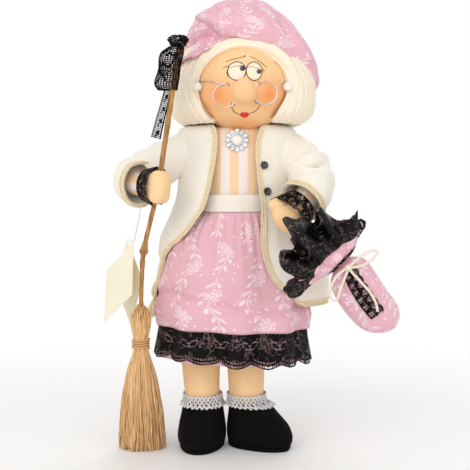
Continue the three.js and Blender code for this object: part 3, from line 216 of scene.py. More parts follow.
def tubeCurve(name, runs, radius, sides=2, radii=None):
    # one curve object with a round section, a spline for each run of points in mm
    curve = bpy.data.curves.new(name, "CURVE")
    curve.dimensions = "3D"
    curve.bevel_depth = radius / 1000
    curve.bevel_resolution = sides
    curve.use_fill_caps = True
    for run in runs:
        spline = curve.splines.new("POLY")
        spline.points.add(len(run) - 1)
        for i, p in enumerate(run):
            spline.points[i].co = (*at(*p), 1)
            if radii:
                spline.points[i].radius = radii[i]
    piece = bpy.data.objects.new(name, curve)
    scene.collection.objects.link(piece)
    return piece


def asMesh(piece):
    activate(piece)
    bpy.ops.object.convert(target="MESH")
    piece = bpy.context.object
    bpy.ops.object.shade_smooth()
    return piece


def joinPieces(name, pieces):
    deselectAll()
    for piece in pieces:
        piece.select_set(True)
    bpy.context.view_layer.objects.active = pieces[0]
    bpy.ops.object.join()
    joined = bpy.context.object
    joined.name = name
    joined.data.name = name
    return joined


def settle():
    bpy.ops.object.transform_apply(location=True, rotation=True, scale=True)


def addRing(place, radius, wire, segments):
    # a wire ring that faces the front
    deselectAll()
    bpy.ops.mesh.primitive_torus_add(
        location=at(*place), rotation=(pi / 2, 0, 0), major_segments=segments, minor_segments=10,
        major_radius=radius / 1000, minor_radius=wire / 1000)
    settle()
    bpy.ops.object.shade_smooth()
    return bpy.context.object


def addBall(name, centre, radii, segments=32, rings=16):
    deselectAll()
    bpy.ops.mesh.primitive_uv_sphere_add(segments=segments, ring_count=rings, radius=1, location=at(*centre))
    piece = bpy.context.object
    piece.name = name
    piece.data.name = name
    piece.scale = [r / 1000 for r in radii]
    settle()
    bpy.ops.object.shade_smooth()
    return piece


# Finishes

def linear(color):
    return [((c / 255 + 0.055) / 1.055) ** 2.4 if c > 10 else c / 255 / 12.92 for c in color]


def rgba(color):
    return (*linear(color), 1)


def setSockets(shader, values):
    for socket, value in values.items():
        shader.inputs[socket].default_value = value


def newFinish(name, color, roughness, metallic=0.0):
    finish = bpy.data.materials.new(name)
    finish.use_nodes = True
    tree = finish.node_tree
    shader = tree.nodes["Principled BSDF"]
    setSockets(shader, {"Base Color": rgba(color), "Roughness": roughness, "Metallic": metallic})
    return finish, tree, shader


def addNode(tree, kind, inputs=None, **settings):
    node = tree.nodes.new("ShaderNode" + kind)
    for name, value in settings.items():
        setattr(node, name, value)
    for name, value in (inputs or {}).items():
        if isinstance(value, bpy.types.NodeSocket):
            tree.links.new(value, node.inputs[name])
        else:
            node.inputs[name].default_value = value
    return node


def calc(tree, operation, first, second=0.0):
    return addNode(tree, "Math", {0: first, 1: second}, operation=operation).outputs[0]


def mixColors(tree, factor, first, second):
    return addNode(tree, "Mix", {0: factor, 6: first, 7: second}, data_type="RGBA").outputs[2]


def coords(tree, kind):
    return addNode(tree, "TexCoord").outputs[kind]


def addBump(tree, shader, height, strength, distance):
    bump = addNode(tree, "Bump", {"Height": height, "Strength": strength, "Distance": distance / 1000})
    normal = shader.inputs["Normal"]
    if normal.is_linked:
        tree.links.new(normal.links[0].from_socket, bump.inputs["Normal"])
    tree.links.new(bump.outputs["Normal"], normal)


def noiseOf(tree, vector, scale, detail=3.0, roughness=0.55):
    inputs = {"Vector": vector, "Scale": scale, "Detail": detail, "Roughness": roughness}
    return addNode(tree, "TexNoise", inputs).outputs["Fac"]


def addWeave(tree, shader, vector, pitch, strength):
    # warp and weft threads, pitch in mm
    scale = 2 * pi / (20 * pitch / 1000)
    bands = [
        addNode(tree, "TexWave", {"Vector": vector, "Scale": scale}, bands_direction=way).outputs["Fac"]
        for way in ("X", "Y")
    ]
    addBump(tree, shader, calc(tree, "ADD", *bands), strength, 0.15)


def varyColor(tree, shader, vector, color, scale, amount):
    # the colour drifts a little over the cloth
    dark = rgba([c * (1 - amount) for c in color])
    light = rgba([min(255, c * (1 + amount * 0.5)) for c in color])
    mixed = mixColors(tree, noiseOf(tree, vector, scale), dark, light)
    tree.links.new(mixed, shader.inputs["Base Color"])
    return mixed


def plainFinish(name, color, roughness, drift, bumps, sockets=None, metallic=0.0):
    # drift is the scale and share of the colour's change; bumps are (scale, detail, strength, height in mm)
    finish, tree, shader = newFinish(name, color, roughness, metallic)
    vector = coords(tree, "Object")
    varyColor(tree, shader, vector, color, *drift)
    for scale, detail, strength, height in bumps:
        addBump(tree, shader, noiseOf(tree, vector, scale, detail), strength, height)
    setSockets(shader, sockets or {})
    return finish


def cottonFinish(name, color, pitch=0.6):
    return plainFinish(name, color, 0.88, (60, 0.05), ((90, 3, 0.15, 0.4), (1000 / pitch, 1, 0.18, 0.12)))


def glossFinish(name, color, roughness, metallic=0.0):
    coat = {} if metallic else {"Coat Weight": 0.5, "Coat Roughness": 0.12}
    return plainFinish(name, color, roughness, (300, 0.06), ((600, 3, 0.06, 0.08),), coat, metallic)


def stripedFinish():
    stripes = {"width": 8.6, "peach": (243, 206, 168), "white": (240, 228, 220)}
    finish, tree, shader = newFinish("stripedCotton", stripes["peach"], 0.85)
    vector = coords(tree, "UV")
    across = addNode(tree, "SeparateXYZ", {"Vector": vector}).outputs["X"]
    turn = calc(tree, "MULTIPLY", across, 1000 * pi / stripes["width"])
    edge = calc(tree, "MULTIPLY", calc(tree, "SINE", turn), 12)
    factor = addNode(tree, "Clamp", {"Value": calc(tree, "ADD", edge, 0.5)}).outputs[0]
    mixed = mixColors(tree, factor, rgba(stripes["white"]), rgba(stripes["peach"]))
    tree.links.new(mixed, shader.inputs["Base Color"])
    addWeave(tree, shader, vector, 0.6, 0.2)
    return finish


def floralFinish():
    # pale sprays on pink along the cloth's UV map in metres: winding stems, paired leaves, flowers and buds
    floral = {
        "ground": (233, 183, 195), "shade": (223, 170, 183), "print": (249, 233, 235),
        "stemSpacing": 0.033, "stemWidth": 0.00052,
        "leafPitch": 0.0085, "leafLength": 0.0040, "leafWidth": 0.0015, "leafAway": 0.0042, "leafTurn": 0.75,
        "flowerPitch": 0.047, "flowerRadius": 0.0082, "flowerAway": 0.005, "petals": 8,
        "budCell": 0.0105, "budRadius": 0.0011,
    }
    finish, tree, shader = newFinish("floralCotton", floral["ground"], 0.82)
    plus, minus, times, over, below, above, larger, size, wave, part = (
        partial(calc, tree, operation) for operation in (
            "ADD", "SUBTRACT", "MULTIPLY", "DIVIDE", "LESS_THAN",
            "GREATER_THAN", "MAXIMUM", "ABSOLUTE", "SINE", "FRACT"))
    vector = coords(tree, "UV")
    parts = addNode(tree, "SeparateXYZ", {"Vector": vector}).outputs
    u, v = parts["X"], parts["Y"]

    def waveOf(scale, reach, phase):
        turn = plus(times(v, scale), phase)
        return times(wave(turn), reach)

    # which stem this is, and how far to its side
    slow = plus(waveOf(88.0, 0.0065, 0.4), waveOf(205.0, 0.0022, 2.0))
    stemPlace = over(plus(u, slow), floral["stemSpacing"])
    stemNumber = calc(tree, "FLOOR", stemPlace)
    side = times(minus(minus(stemPlace, stemNumber), 0.5), floral["stemSpacing"])
    chance = addNode(tree, "TexWhiteNoise", {"W": stemNumber}, noise_dimensions="1D").outputs["Value"]
    slide = plus(v, times(chance, 0.09))
    stem = below(size(side), floral["stemWidth"])
    gap = above(noiseOf(tree, vector, 42, 1.0), 0.42)
    stem = times(stem, gap)

    def ellipse(x, y, turn, length, width):
        cosine, sine = cos(turn), sin(turn)
        longWay = plus(times(x, cosine), times(y, sine))
        shortWay = minus(times(y, cosine), times(x, sine))
        longPart = calc(tree, "POWER", size(over(longWay, length)), 1.5)
        shortPart = calc(tree, "POWER", size(over(shortWay, width)), 1.5)
        return below(plus(longPart, shortPart), 1.0)

    # leaves in pairs along the stem
    leafPlace = over(slide, floral["leafPitch"])
    leafY = times(minus(part(leafPlace), 0.5), floral["leafPitch"])
    away = minus(size(side), floral["leafAway"])
    leaf = ellipse(away, leafY, floral["leafTurn"], floral["leafLength"], floral["leafWidth"])
    leaf = times(leaf, gap)

    # open flowers beside the stem, each with a ring of petals and a dotted heart
    flowerPlace = over(slide, floral["flowerPitch"])
    flowerY = times(minus(part(flowerPlace), 0.5), floral["flowerPitch"])
    flowerX = minus(side, floral["flowerAway"])
    radius = calc(tree, "SQRT", plus(times(flowerX, flowerX), times(flowerY, flowerY)))
    turn = calc(tree, "ARCTAN2", flowerY, flowerX)
    petalWave = size(wave(times(turn, floral["petals"] / 2)))
    reach = times(plus(times(petalWave, 0.35), 0.65), floral["flowerRadius"])
    inFlower = below(radius, reach)
    share = over(radius, reach)
    rings = above(wave(times(share, 15.0)), -0.55)
    split = above(plus(petalWave, below(share, 0.45)), 0.22)
    flower = times(inFlower, times(rings, split))
    clear = minus(1.0, below(radius, floral["flowerRadius"] * 1.12))

    # small buds between
    cell = addNode(tree, "TexVoronoi", {"Vector": vector, "Scale": 1 / floral["budCell"]},
                   voronoi_dimensions="2D")
    nearBud = below(cell.outputs["Distance"], floral["budRadius"] / floral["budCell"])
    someBuds = addNode(tree, "SeparateXYZ", {"Vector": cell.outputs["Color"]}).outputs["X"]
    bud = times(nearBud, above(someBuds, 0.45))

    sprays = times(larger(larger(stem, leaf), bud), clear)
    printed = larger(sprays, flower)
    wear = plus(times(noiseOf(tree, vector, 500), 0.7), 0.35)
    factor = addNode(tree, "Clamp", {"Value": times(printed, wear)}).outputs[0]
    ground = mixColors(tree, noiseOf(tree, vector, 30), rgba(floral["shade"]), rgba(floral["ground"]))
    tree.links.new(mixColors(tree, factor, ground, rgba(floral["print"])), shader.inputs["Base Color"])
    addWeave(tree, shader, vector, 0.5, 0.18)
    setSockets(shader, {"Sheen Weight": 0.12, "Sheen Roughness": 0.5})
    return finish


def laceFinish(name, color, shine, paintedHighlight=None, roughness=0.32, weave=0.5):
    finish, tree, shader = newFinish(name, color, roughness)
    setSockets(shader, {"Specular IOR Level": shine})
    vector = coords(tree, "UV")
    mixed = varyColor(tree, shader, vector, color, 400, 0.3)
    if paintedHighlight:
        # painted highlights: the outline threads in curved cells, only here and there, are drawn in a lighter
        # colour for the glossy lace's sheen
        bent = addNode(tree, "TexNoise", {"Vector": vector, "Scale": 160}).outputs["Color"]
        bent = addNode(tree, "VectorMath", {0: bent, "Scale": 0.006}, operation="SCALE").outputs[0]
        bent = addNode(tree, "VectorMath", {0: vector, 1: bent}, operation="ADD").outputs[0]
        cells = addNode(tree, "TexVoronoi", {"Vector": bent, "Scale": 165}, feature="DISTANCE_TO_EDGE")
        outline = calc(tree, "LESS_THAN", cells.outputs["Distance"], 0.06)
        patch = calc(tree, "GREATER_THAN", noiseOf(tree, vector, 95, 1.0), 0.53)
        highlightSpots = calc(tree, "MULTIPLY", outline, patch)
        tree.links.new(mixColors(tree, highlightSpots, mixed, rgba(paintedHighlight)), shader.inputs["Base Color"])
    addWeave(tree, shader, vector, 0.5, weave)
    return finish


def hairFinish():
    finish, tree, shader = newFinish("combedWool", (243, 232, 214), 0.6)
    vector = addNode(tree, "Mapping", {"Vector": coords(tree, "UV"), "Scale": (1, 0.04, 1)}).outputs[0]
    strands = noiseOf(tree, vector, 1500, 4, 0.7)
    mixed = mixColors(tree, strands, rgba((240, 220, 190)), rgba((253, 243, 225)))
    tree.links.new(mixed, shader.inputs["Base Color"])
    addBump(tree, shader, strands, 0.6, 0.35)
    setSockets(shader, {"Sheen Weight": 0.3, "Sheen Roughness": 0.4,
                        "Subsurface Weight": 0.1, "Subsurface Radius": (0.004, 0.003, 0.002)})
    return finish


def grainFinish(name, color, roughness, stretch, scale, detail, tones, bump):
    # fibres that run up the piece; tones are (place, colour) of the dark and the light ones
    finish, tree, shader = newFinish(name, color, roughness)
    vector = addNode(tree, "Mapping", {"Vector": coords(tree, "Object"), "Scale": (1, 1, stretch)}).outputs[0]
    grain = noiseOf(tree, vector, scale, *detail)
    ramp = addNode(tree, "ValToRGB", {"Fac": grain})
    for element, (place, tone) in zip(ramp.color_ramp.elements, tones):
        element.position, element.color = place, rgba(tone)
    tree.links.new(ramp.outputs["Color"], shader.inputs["Base Color"])
    bumpScale, strength, height = bump
    addBump(tree, shader, noiseOf(tree, vector, bumpScale) if bumpScale else grain, strength, height)
    return finish


def cordFinish(name, color):
    finish, tree, shader = newFinish(name, color, 0.8)
    vector = coords(tree, "Object")
    varyColor(tree, shader, vector, color, 700, 0.1)
    lay = addNode(tree, "TexWave", {"Vector": vector, "Scale": 220.0, "Distortion": 1.0},
                  bands_direction="DIAGONAL")
    addBump(tree, shader, lay.outputs["Fac"], 0.5, 0.3)
    return finish


def faceFinish(name, cheeks):
    # warm cotton with airbrushed cheeks, chin and jaw
    skin, blush = (248, 202, 149), (246, 153, 84)
    finish, tree, shader = newFinish(name, skin, 0.85)
    vector = coords(tree, "Object")
    total = None
    for centre, radii, strength in cheeks:
        place = addNode(tree, "Mapping", {
            "Vector": vector,
            "Location": at(*centre),
            "Scale": [r / 1000 for r in radii],
        }, vector_type="TEXTURE").outputs[0]
        spot = addNode(tree, "TexGradient", {"Vector": place}, gradient_type="QUADRATIC_SPHERE")
        spot = calc(tree, "MULTIPLY", spot.outputs["Fac"], strength)
        total = spot if total is None else calc(tree, "MAXIMUM", total, spot)
    tree.links.new(mixColors(tree, total, rgba(skin), rgba(blush)), shader.inputs["Base Color"])
    addBump(tree, shader, noiseOf(tree, vector, 1600, 1), 0.15, 0.12)
    addBump(tree, shader, noiseOf(tree, vector, 70), 0.12, 0.5)
    return finish


handCotton = cottonFinish("handCotton", (248, 210, 158))
# the legs' cotton is the hands' cotton made a little lighter: painted light against the skirt's shadow on the
# legs; the hand stitches use it too
legCottonPaintedLight = cottonFinish("legCottonPaintedLight", (253, 210, 158))
stripedCotton = stripedFinish()
creamFleece = plainFinish("creamFleece", (242, 235, 222), 0.95, (35, 0.04),
                          ((260, 4, 0.35, 0.5), (1400, 2, 0.3, 0.25)),
                          {"Sheen Weight": 0.35, "Sheen Roughness": 0.6})
floralCotton = floralFinish()
pinkLining = cottonFinish("pinkLining", (228, 184, 190))
blackFelt = plainFinish("blackFelt", (12, 9, 7), 0.92, (120, 0.25), ((900, 4, 0.5, 0.35),),
                        {"Specular IOR Level": 0.12})
# blackLace and shinyLace: the colour after the shine is a painted highlight on the lace threads
blackLace = laceFinish("blackLace", (8, 5, 4), 0.09, (98, 80, 78))
shinyLace = laceFinish("shinyLace", (7, 5, 4), 0.18, (104, 86, 84), 0.2, 0.3)
whiteLace = laceFinish("whiteLace", (255, 254, 250), 0.3)
creamRibbon = cottonFinish("creamRibbon", (242, 234, 222), 0.9)
peachTrim = cordFinish("peachTrim", (250, 229, 190))
combedWool = hairFinish()
dryStraw = grainFinish("dryStraw", (199, 150, 96), 0.7, 0.05, 500, (2, 0.6),
                       ((0.3, (206, 150, 90)), (0.7, (250, 216, 162))), (2500, 0.3, 0.15))
peeledTwig = grainFinish("peeledTwig", (176, 126, 80), 0.6, 0.08, 420, (5, 0.65),
                         ((0.32, (124, 80, 34)), (0.68, (204, 152, 84))), (None, 0.5, 0.4))
bindingString = cordFinish("bindingString", (214, 166, 112))
creamCord = cordFinish("creamCord", (241, 228, 208))
creamCard = plainFinish("creamCard", (252, 243, 217), 0.7, (25, 0.04), ((1200, 4, 0.12, 0.1),))
pearlGloss = glossFinish("pearlGloss", (244, 237, 226), 0.22)
blackGloss = glossFinish("blackGloss", (24, 19, 17), 0.25)
silverMetal = glossFinish("silverMetal", (206, 206, 208), 0.2, 1.0)
clearGem = glossFinish("clearGem", (226, 230, 234), 0.08, 0.6)
inkBlack = glossFinish("inkBlack", (26, 20, 20), 0.5)
eyePaint = glossFinish("eyePaint", (252, 228, 200), 0.5)
lipPaint = glossFinish("lipPaint", (224, 10, 8), 0.45)
dowelWood = grainFinish("dowelWood", (202, 168, 120), 0.6, 0.06, 600, (4, 0.55),
                        ((0, (180, 142, 94)), (1, (216, 184, 138))), (None, 0.3, 0.2))
print("finishes done")

# Camera and light

view = {"x": -5, "y": -800, "z": 253.5, "tiltDegrees": 3.05, "halfFrame": 235 / 800}
cameraData = bpy.data.cameras.new("camera")
camera = bpy.data.objects.new("camera", cameraData)
scene.collection.objects.link(camera)
camera.location = at(view["x"], view["y"], view["z"])
camera.rotation_euler = (radians(90 - view["tiltDegrees"]), 0, 0)
cameraData.sensor_width = cameraData.sensor_height = 36
cameraData.angle = 2 * atan(view["halfFrame"])
cameraData.clip_end = 50
scene.camera = camera
scene.view_settings.view_transform = "Standard"

studio = {
    "key": {"place": (-400, -820, 730), "size": 0.9, "watts": 4.35},
    "fill": {"place": (620, -700, 430), "size": 1.0, "watts": 1.9},
    "back": {"place": (150, 700, 800), "size": 0.9, "watts": 3},
    "worldStrength": 0.67,
}
for name in ("key", "fill", "back"):
    lamp = bpy.data.lights.new(name, "AREA")
    lamp.size = studio[name]["size"]
    lamp.energy = studio[name]["watts"]
    lampObject = bpy.data.objects.new(name, lamp)
    scene.collection.objects.link(lampObject)
    lampObject.location = at(*studio[name]["place"])
    aim = at(0, 0, 230) - lampObject.location
    lampObject.rotation_euler = aim.to_track_quat("-Z", "Y").to_euler()

world = bpy.data.worlds.new("studio")
scene.world = world
world.use_nodes = True
worldTree = world.node_tree
background = worldTree.nodes["Background"]
background.inputs["Color"].default_value = (1, 1, 1, 1)
rays = addNode(worldTree, "LightPath").outputs
seen = calc(worldTree, "MAXIMUM", rays["Is Camera Ray"],
            calc(worldTree, "MAXIMUM", rays["Is Glossy Ray"], rays["Is Transmission Ray"]))
seenStrength = calc(worldTree, "ADD", calc(worldTree, "MULTIPLY", seen, 1 - studio["worldStrength"]),
                    studio["worldStrength"])
worldTree.links.new(seenStrength, background.inputs["Strength"])


def floorFinish():
    # pale near the doll, white farther off
    finish, tree, shader = newFinish("paleFloor", (246, 245, 244), 0.9)
    place = addNode(tree, "Mapping", {"Vector": coords(tree, "Object"), "Scale": (1 / 0.75, 1 / 0.6, 1)})
    place = place.outputs[0]
    nearness = addNode(tree, "TexGradient", {"Vector": place}, gradient_type="SPHERICAL").outputs["Fac"]
    glow = addNode(tree, "Emission", {"Color": (1, 1, 1, 1), "Strength": 1.0})
    rays = addNode(tree, "LightPath").outputs
    seen = calc(tree, "MAXIMUM", rays["Is Camera Ray"], rays["Is Glossy Ray"])
    far = addNode(tree, "MapRange", {"Value": nearness, 1: 0.05, 2: 0.6, 3: 1.0, 4: 0.0}).outputs[0]
    mix = addNode(tree, "MixShader", {0: calc(tree, "MULTIPLY", far, seen)})
    tree.links.new(shader.outputs[0], mix.inputs[1])
    tree.links.new(glow.outputs[0], mix.inputs[2])
    tree.links.new(mix.outputs[0], tree.nodes["Material Output"].inputs["Surface"])
    return finish


deselectAll()
bpy.ops.mesh.primitive_plane_add(size=12, location=(0, 0, 0))
floorPlane = bpy.context.object
floorPlane.name = "floor"
floorPlane.data.materials.append(floorFinish())
print("camera and light done")

# Head and face

head = {"x": 2, "y": -14, "z": 356, "halfWidth": 48, "halfDepth": 46, "halfHeight": 43.5, "cheekSwell": 0.04}


def headSection(z):
    share = clamp((z - head["z"]) / head["halfHeight"], -1, 1)
    bulge = sqrt(max(0, 1 - share * share))
    swell = 1 + head["cheekSwell"] * hump(share + 0.25, 0.4)
    return head["halfWidth"] * bulge * swell, head["halfDepth"] * bulge


def faceFront(x, z):
    halfWidth, halfDepth = headSection(z)
    share = min(abs(x - head["x"]) / max(halfWidth, 0.01), 0.98)
    return head["y"] - halfDepth * sqrt(1 - share * share)


def headSurface(u, v):
    turn = u * 2 * pi
    z = head["z"] - head["halfHeight"] * cos(pi * v)
    halfWidth, halfDepth = headSection(z)
    return head["x"] + halfWidth * cos(turn), head["y"] + halfDepth * sin(turn), z


cheeks = [
    ((-19, -50, 344), (30, 30, 26), 1.1),
    ((26, -50, 345), (30, 30, 26), 1.1),
    ((-36, -26, 338), (26, 30, 30), 1.0),
    ((42, -24, 340), (26, 30, 30), 1.0),
    ((4, -40, 316), (36, 32, 16), 0.9),
]
faceCotton = faceFinish("faceCotton", cheeks)
makePadded("headBall", (96, 64), headSurface, (300, 140), "head", faceCotton, "head")

nose = {"x": 3.4, "z": 346.3, "halfWidth": 10.4, "halfDepth": 11.5, "halfHeight": 11.8, "narrowTop": 0.16}


def noseSurface(u, v):
    turn = u * 2 * pi
    rise = -cos(pi * v)
    out = sin(pi * v) * (1 - nose["narrowTop"] * rise)
    y = faceFront(nose["x"], nose["z"]) - 0.32 * 2 * nose["halfDepth"]
    return (
        nose["x"] + nose["halfWidth"] * out * cos(turn),
        y + nose["halfDepth"] * out * sin(turn),
        nose["z"] + nose["halfHeight"] * rise,
    )


noseCotton = faceFinish("noseCotton", [((3.4, -78, 343), (16, 12, 12), 0.35)])
makePadded("noseBall", (40, 28), noseSurface, (65, 36), "head", noseCotton, "nose")


def facePatch(name, x, z, halfWidth, halfHeight, lift, finish):
    # a thin painted spot that follows the cotton
    def surface(u, v):
        turn = u * 2 * pi
        px = x + halfWidth * v * cos(turn)
        pz = z + halfHeight * v * sin(turn)
        return px, faceFront(px, pz) - lift * (1.05 - v), pz

    patch = clothGrid(name, 32, 6, surface, (halfWidth * 6, halfHeight), joined=True)
    return dress(patch, "head", finish)


def faceLine(name, points, radius, lift=0.1, closed=False):
    run = smoothPath([(x, 0, z) for x, z in points], 6)
    run = [(p.x, faceFront(p.x, p.z) - lift, p.z) for p in run]
    taper = [1 if closed else 0.45 + 0.55 * sin(pi * i / (len(run) - 1)) for i in range(len(run))]
    line = asMesh(tubeCurve(name, [run], radius, 1, taper))
    return dress(line, "head", inkBlack)


eyes = {
    # the white's x, z and half sizes, then the pupil's x, z and radius
    "right": {"white": (-3.4, 364.9, 8.4, 8.6), "pupil": (1.4, 367.0, 2.9)},
    "left": {"white": (12.6, 364.9, 7.3, 8.7), "pupil": (16.6, 364.6, 2.7)},
}
for side, eye in eyes.items():
    x, z, halfWidth, halfHeight = eye["white"]
    facePatch(f"eyeWhite_{side}", x, z, halfWidth, halfHeight, 0.5, eyePaint)
    rim = [(x + halfWidth * cos(t * pi / 8), z + halfHeight * sin(t * pi / 8)) for t in range(17)]
    faceLine(f"eyeRim_{side}", rim, 0.42, 0.15, closed=True)
    px, pz, radius = eye["pupil"]
    facePatch(f"pupil_{side}", px, pz, radius, radius, 1.0, inkBlack)
    facePatch(f"eyeGlint_{side}", px - 0.8, pz + 0.9, 0.8, 0.8, 1.35, eyePaint)

faceLines = {
    "browRight": [(-14.3, 373.8), (-8.6, 375.8), (-1.8, 377.3), (4.3, 379.3)],
    "browCrease": [(-16.6, 368.4), (-12.6, 369.4), (-10.4, 369.6)],
    "browLeft": [(8.1, 379.4), (14.2, 376.6), (20.3, 372.5), (24.6, 368.6)],
    "browKnot": [(3.2, 378.2), (4.4, 379.6), (3.4, 380.4)],
    "lidRight": [(-11.2, 366.4), (-8, 368.4), (-2.6, 369.2), (2.4, 369.6), (5.0, 367.6)],
    "lidLeft": [(5.5, 367.9), (9.6, 368.9), (14.1, 368.2), (18.4, 366.0), (22.1, 363.8)],
    "lashRight": [(-11.8, 366.8), (-12.4, 362.6), (-11.2, 358.8)],
    "lashLeft": [(19.6, 367.4), (21.4, 366.4), (22.8, 366.2)],
    "smileRight": [(-7.9, 337.0), (-8.4, 333.9), (-6.4, 329.3), (-2.2, 326.7), (0.9, 326.4)],
    "smileLeft": [(6.6, 326.6), (12.1, 328.2), (16.7, 331.9), (18.3, 335.5)],
    "dimpleRight": [(-6.4, 337.0), (-5.2, 334.6), (-6.6, 333.2)],
    "dimpleLeft": [(13.6, 338.8), (14.6, 336.0), (17.4, 335.4)],
    "noseCurlRight": [(-13.2, 354.2), (-10.2, 352.6), (-10.8, 350.4)],
    "noseCurlLeft": [(15.4, 355.4), (18.2, 354.0), (17.6, 351.6)],
}
for name, points in faceLines.items():
    faceLine(name, points, 0.34)

lips = {"x": 3.8, "z": 326.4, "halfWidth": 4.7, "upper": 2.3, "lower": 3.0}


def lipSurface(u, v):
    # a bow above and a round lip below
    side = 2 * u - 1
    bow = 0.72 + 0.28 * cos(2 * pi * (abs(side) - 0.45))
    top = lips["upper"] * (1 - side * side) * bow
    foot = -lips["lower"] * (1 - side * side) ** 0.7
    x = lips["x"] + lips["halfWidth"] * side
    z = lips["z"] + foot + (top - foot) * v
    return x, faceFront(x, z) - 0.25 - 0.9 * (1 - side * side) * sin(pi * v), z


lipPatch = clothGrid("lips", 24, 10, lipSurface, (10, 5))
dress(lipPatch, "head", lipPaint)
print("face done")

# Spectacles and earrings

glasses = {
    "x": 4.2, "z": 343.4, "spacing": 37.5, "tilt": 2.7, "rim": 10.8, "wire": 0.52, "gap": 0.4,
    "templeAngles": {-1: 88, 1: 32},
}
pearls = {"spacing": 84, "drop": 4, "radius": 4.2, "forward": 9}


def makeGlasses():
    parts = []
    ends = []
    for side in (-1, 1):
        x = glasses["x"] + side * glasses["spacing"] / 2
        z = glasses["z"] + side * glasses["tilt"] / 2
        reach = min(faceFront(x + k * glasses["rim"] / 2, z) for k in (-2, -1, 0, 1, 2))
        y = reach - glasses["gap"] - glasses["wire"]
        ends.append(Vector((x - side * glasses["rim"], y, z + 2)))
        parts.append(addRing((x, y, z), glasses["rim"], glasses["wire"], 56))
        earX = head["x"] + side * (pearls["spacing"] / 2 + 1)
        earZ = head["z"] - pearls["drop"] + pearls["radius"] + 2
        angle = radians(glasses["templeAngles"][side])
        start = (x + side * glasses["rim"] * cos(angle), y, z + glasses["rim"] * sin(angle))
        temple = smoothPath([
            start,
            ((start[0] + earX) / 2, (y + faceFront(earX, earZ)) / 2 - 6, (start[2] + earZ) / 2 + 0.6),
            (earX, faceFront(earX, earZ) - 1.6, earZ),
        ], 8)
        parts.append(asMesh(tubeCurve("temple", [temple], glasses["wire"])))
    arch = ((ends[0].x + ends[1].x) / 2, ends[0].y - 2, ends[0].z + 2.5)
    bridge = smoothPath([ends[0], arch, ends[1]], 8)
    parts.append(asMesh(tubeCurve("bridge", [bridge], glasses["wire"])))
    return joinPieces("spectacleWires", parts)


dress(makeGlasses(), "head", silverMetal, "spectacles")


def makeEarring(side, word):
    x = head["x"] + side * pearls["spacing"] / 2
    z = head["z"] - pearls["drop"]
    y = faceFront(x, z) - pearls["forward"]
    bead = addBall(f"pearl_{word}", (x, y, z), [pearls["radius"]] * 3, 32, 20)
    dress(bead, "head", pearlGloss, f"earring_{word}")
    cup = addBall(f"pearlCup_{word}", (x, y + 0.4, z + pearls["radius"] * 0.86), (1.7, 1.7, 1.1), 16, 8)
    dress(cup, "head", silverMetal)


makeEarring(-1, "right")
makeEarring(1, "left")
print("spectacles and earrings done")

# Hair: a combed bob, rolled under at its ends and open at the face

bob = {
    "x": 2, "y": -4, "top": 403, "bottom": 322.5, "halfWidth": 68, "halfDepth": 52, "thickness": 4,
    "openX": 3, "openHalf": 44, "openZ": 351, "openRise": 39.5, "locks": 46, "lockDepth": 0.75,
    "rollFrom": 0.86, "rollHook": 15, "rollLift": 3.2, "edgeTuck": 5,
}
bobSize = along([(0, 0.8), (0.1, 0.95), (0.28, 1), (0.55, 0.97), (0.8, 0.8), (0.94, 0.5), (1, 0.06)])


def hairSurface(u, v):
    # v runs from the crown down to the rolled ends
    fall = clamp(v / bob["rollFrom"])
    roll = clamp((v - bob["rollFrom"]) / (1 - bob["rollFrom"]))
    share = cos(fall * pi / 2) if fall < 1 else 0
    size = bobSize(share)[0]
    z = bob["bottom"] + share * (bob["top"] - bob["bottom"])
    width, depth = bob["halfWidth"] * size, bob["halfDepth"] * size
    rise = (z - bob["openZ"]) / bob["openRise"]
    opening = bob["openHalf"] * sqrt(max(0, 1 - rise * rise)) if abs(rise) < 1 else 0
    edge = acos(clamp(opening / max(width, 0.01)))
    turn = -edge + u * (pi + 2 * edge)
    wave = bob["lockDepth"] * sin(2 * pi * bob["locks"] * u + 5 * wander(u * 9, v * 2.5))
    wave += 1.4 * wander(u * 14, v * 2, 3)
    inward = bob["edgeTuck"] * (exp(-u / 0.02) + exp(-(1 - u) / 0.02)) * (1 if opening else 0)
    out = (wave - inward) * min(1, fall * 3)
    hook = bob["rollHook"] * sin(roll * pi / 2)
    lift = bob["rollLift"] * sin(roll * pi) + 2.5 * roll * roll
    droop = 1.6 * wander(u * 20, 7) * fall
    return (
        bob["x"] + (width + out - hook) * cos(turn),
        bob["y"] + (depth + out - hook) * sin(turn),
        z + lift + droop * (1 - roll),
    )


hairBob = clothGrid("hairBob", 300, 56, hairSurface, (420, 170))
finishWith(hairBob, "SOLIDIFY", thickness=bob["thickness"] / 1000, offset=-1)
dress(hairBob, "head", combedWool, "hair")

sweep = {"halfWidth": 48, "rise": 42.5, "y": -41.5, "thick": 6.2, "deep": 5.4, "from": -46, "to": 226}


def sweepSurface(u, v):
    # a combed roll that frames the face from one cheek over the brow to the other
    turn = u * 2 * pi
    angle = radians(sweep["from"] + v * (sweep["to"] - sweep["from"]))
    taper = sin(pi * clamp(v, 0.01, 0.99)) ** 0.5
    sideways = abs(cos(angle))
    low = clamp(-sin(angle) / 0.6)
    lock = 0.35 * sin(7 * turn + 6 * v) + 0.8 * ringWander(turn, 2, v * 4)
    thick = (sweep["thick"] * (1 + 0.35 * sideways) + lock) * taper
    deep = (sweep["deep"] + 6.5 * sideways + lock) * taper
    reach = thick * cos(turn)
    return (
        bob["openX"] + (sweep["halfWidth"] - 5 * low + reach) * cos(angle),
        sweep["y"] + deep * sin(turn) + (7 + 4 * low) * sideways ** 2,
        bob["openZ"] + (sweep["rise"] + reach) * sin(angle),
    )


hairSweep = clothGrid("hairSweep", 48, 120, sweepSurface, (36, 180), joined=True)
dress(hairSweep, "head", combedWool)
print("hair done")

# Cap: a soft crown that droops to its left, gathered at the rim

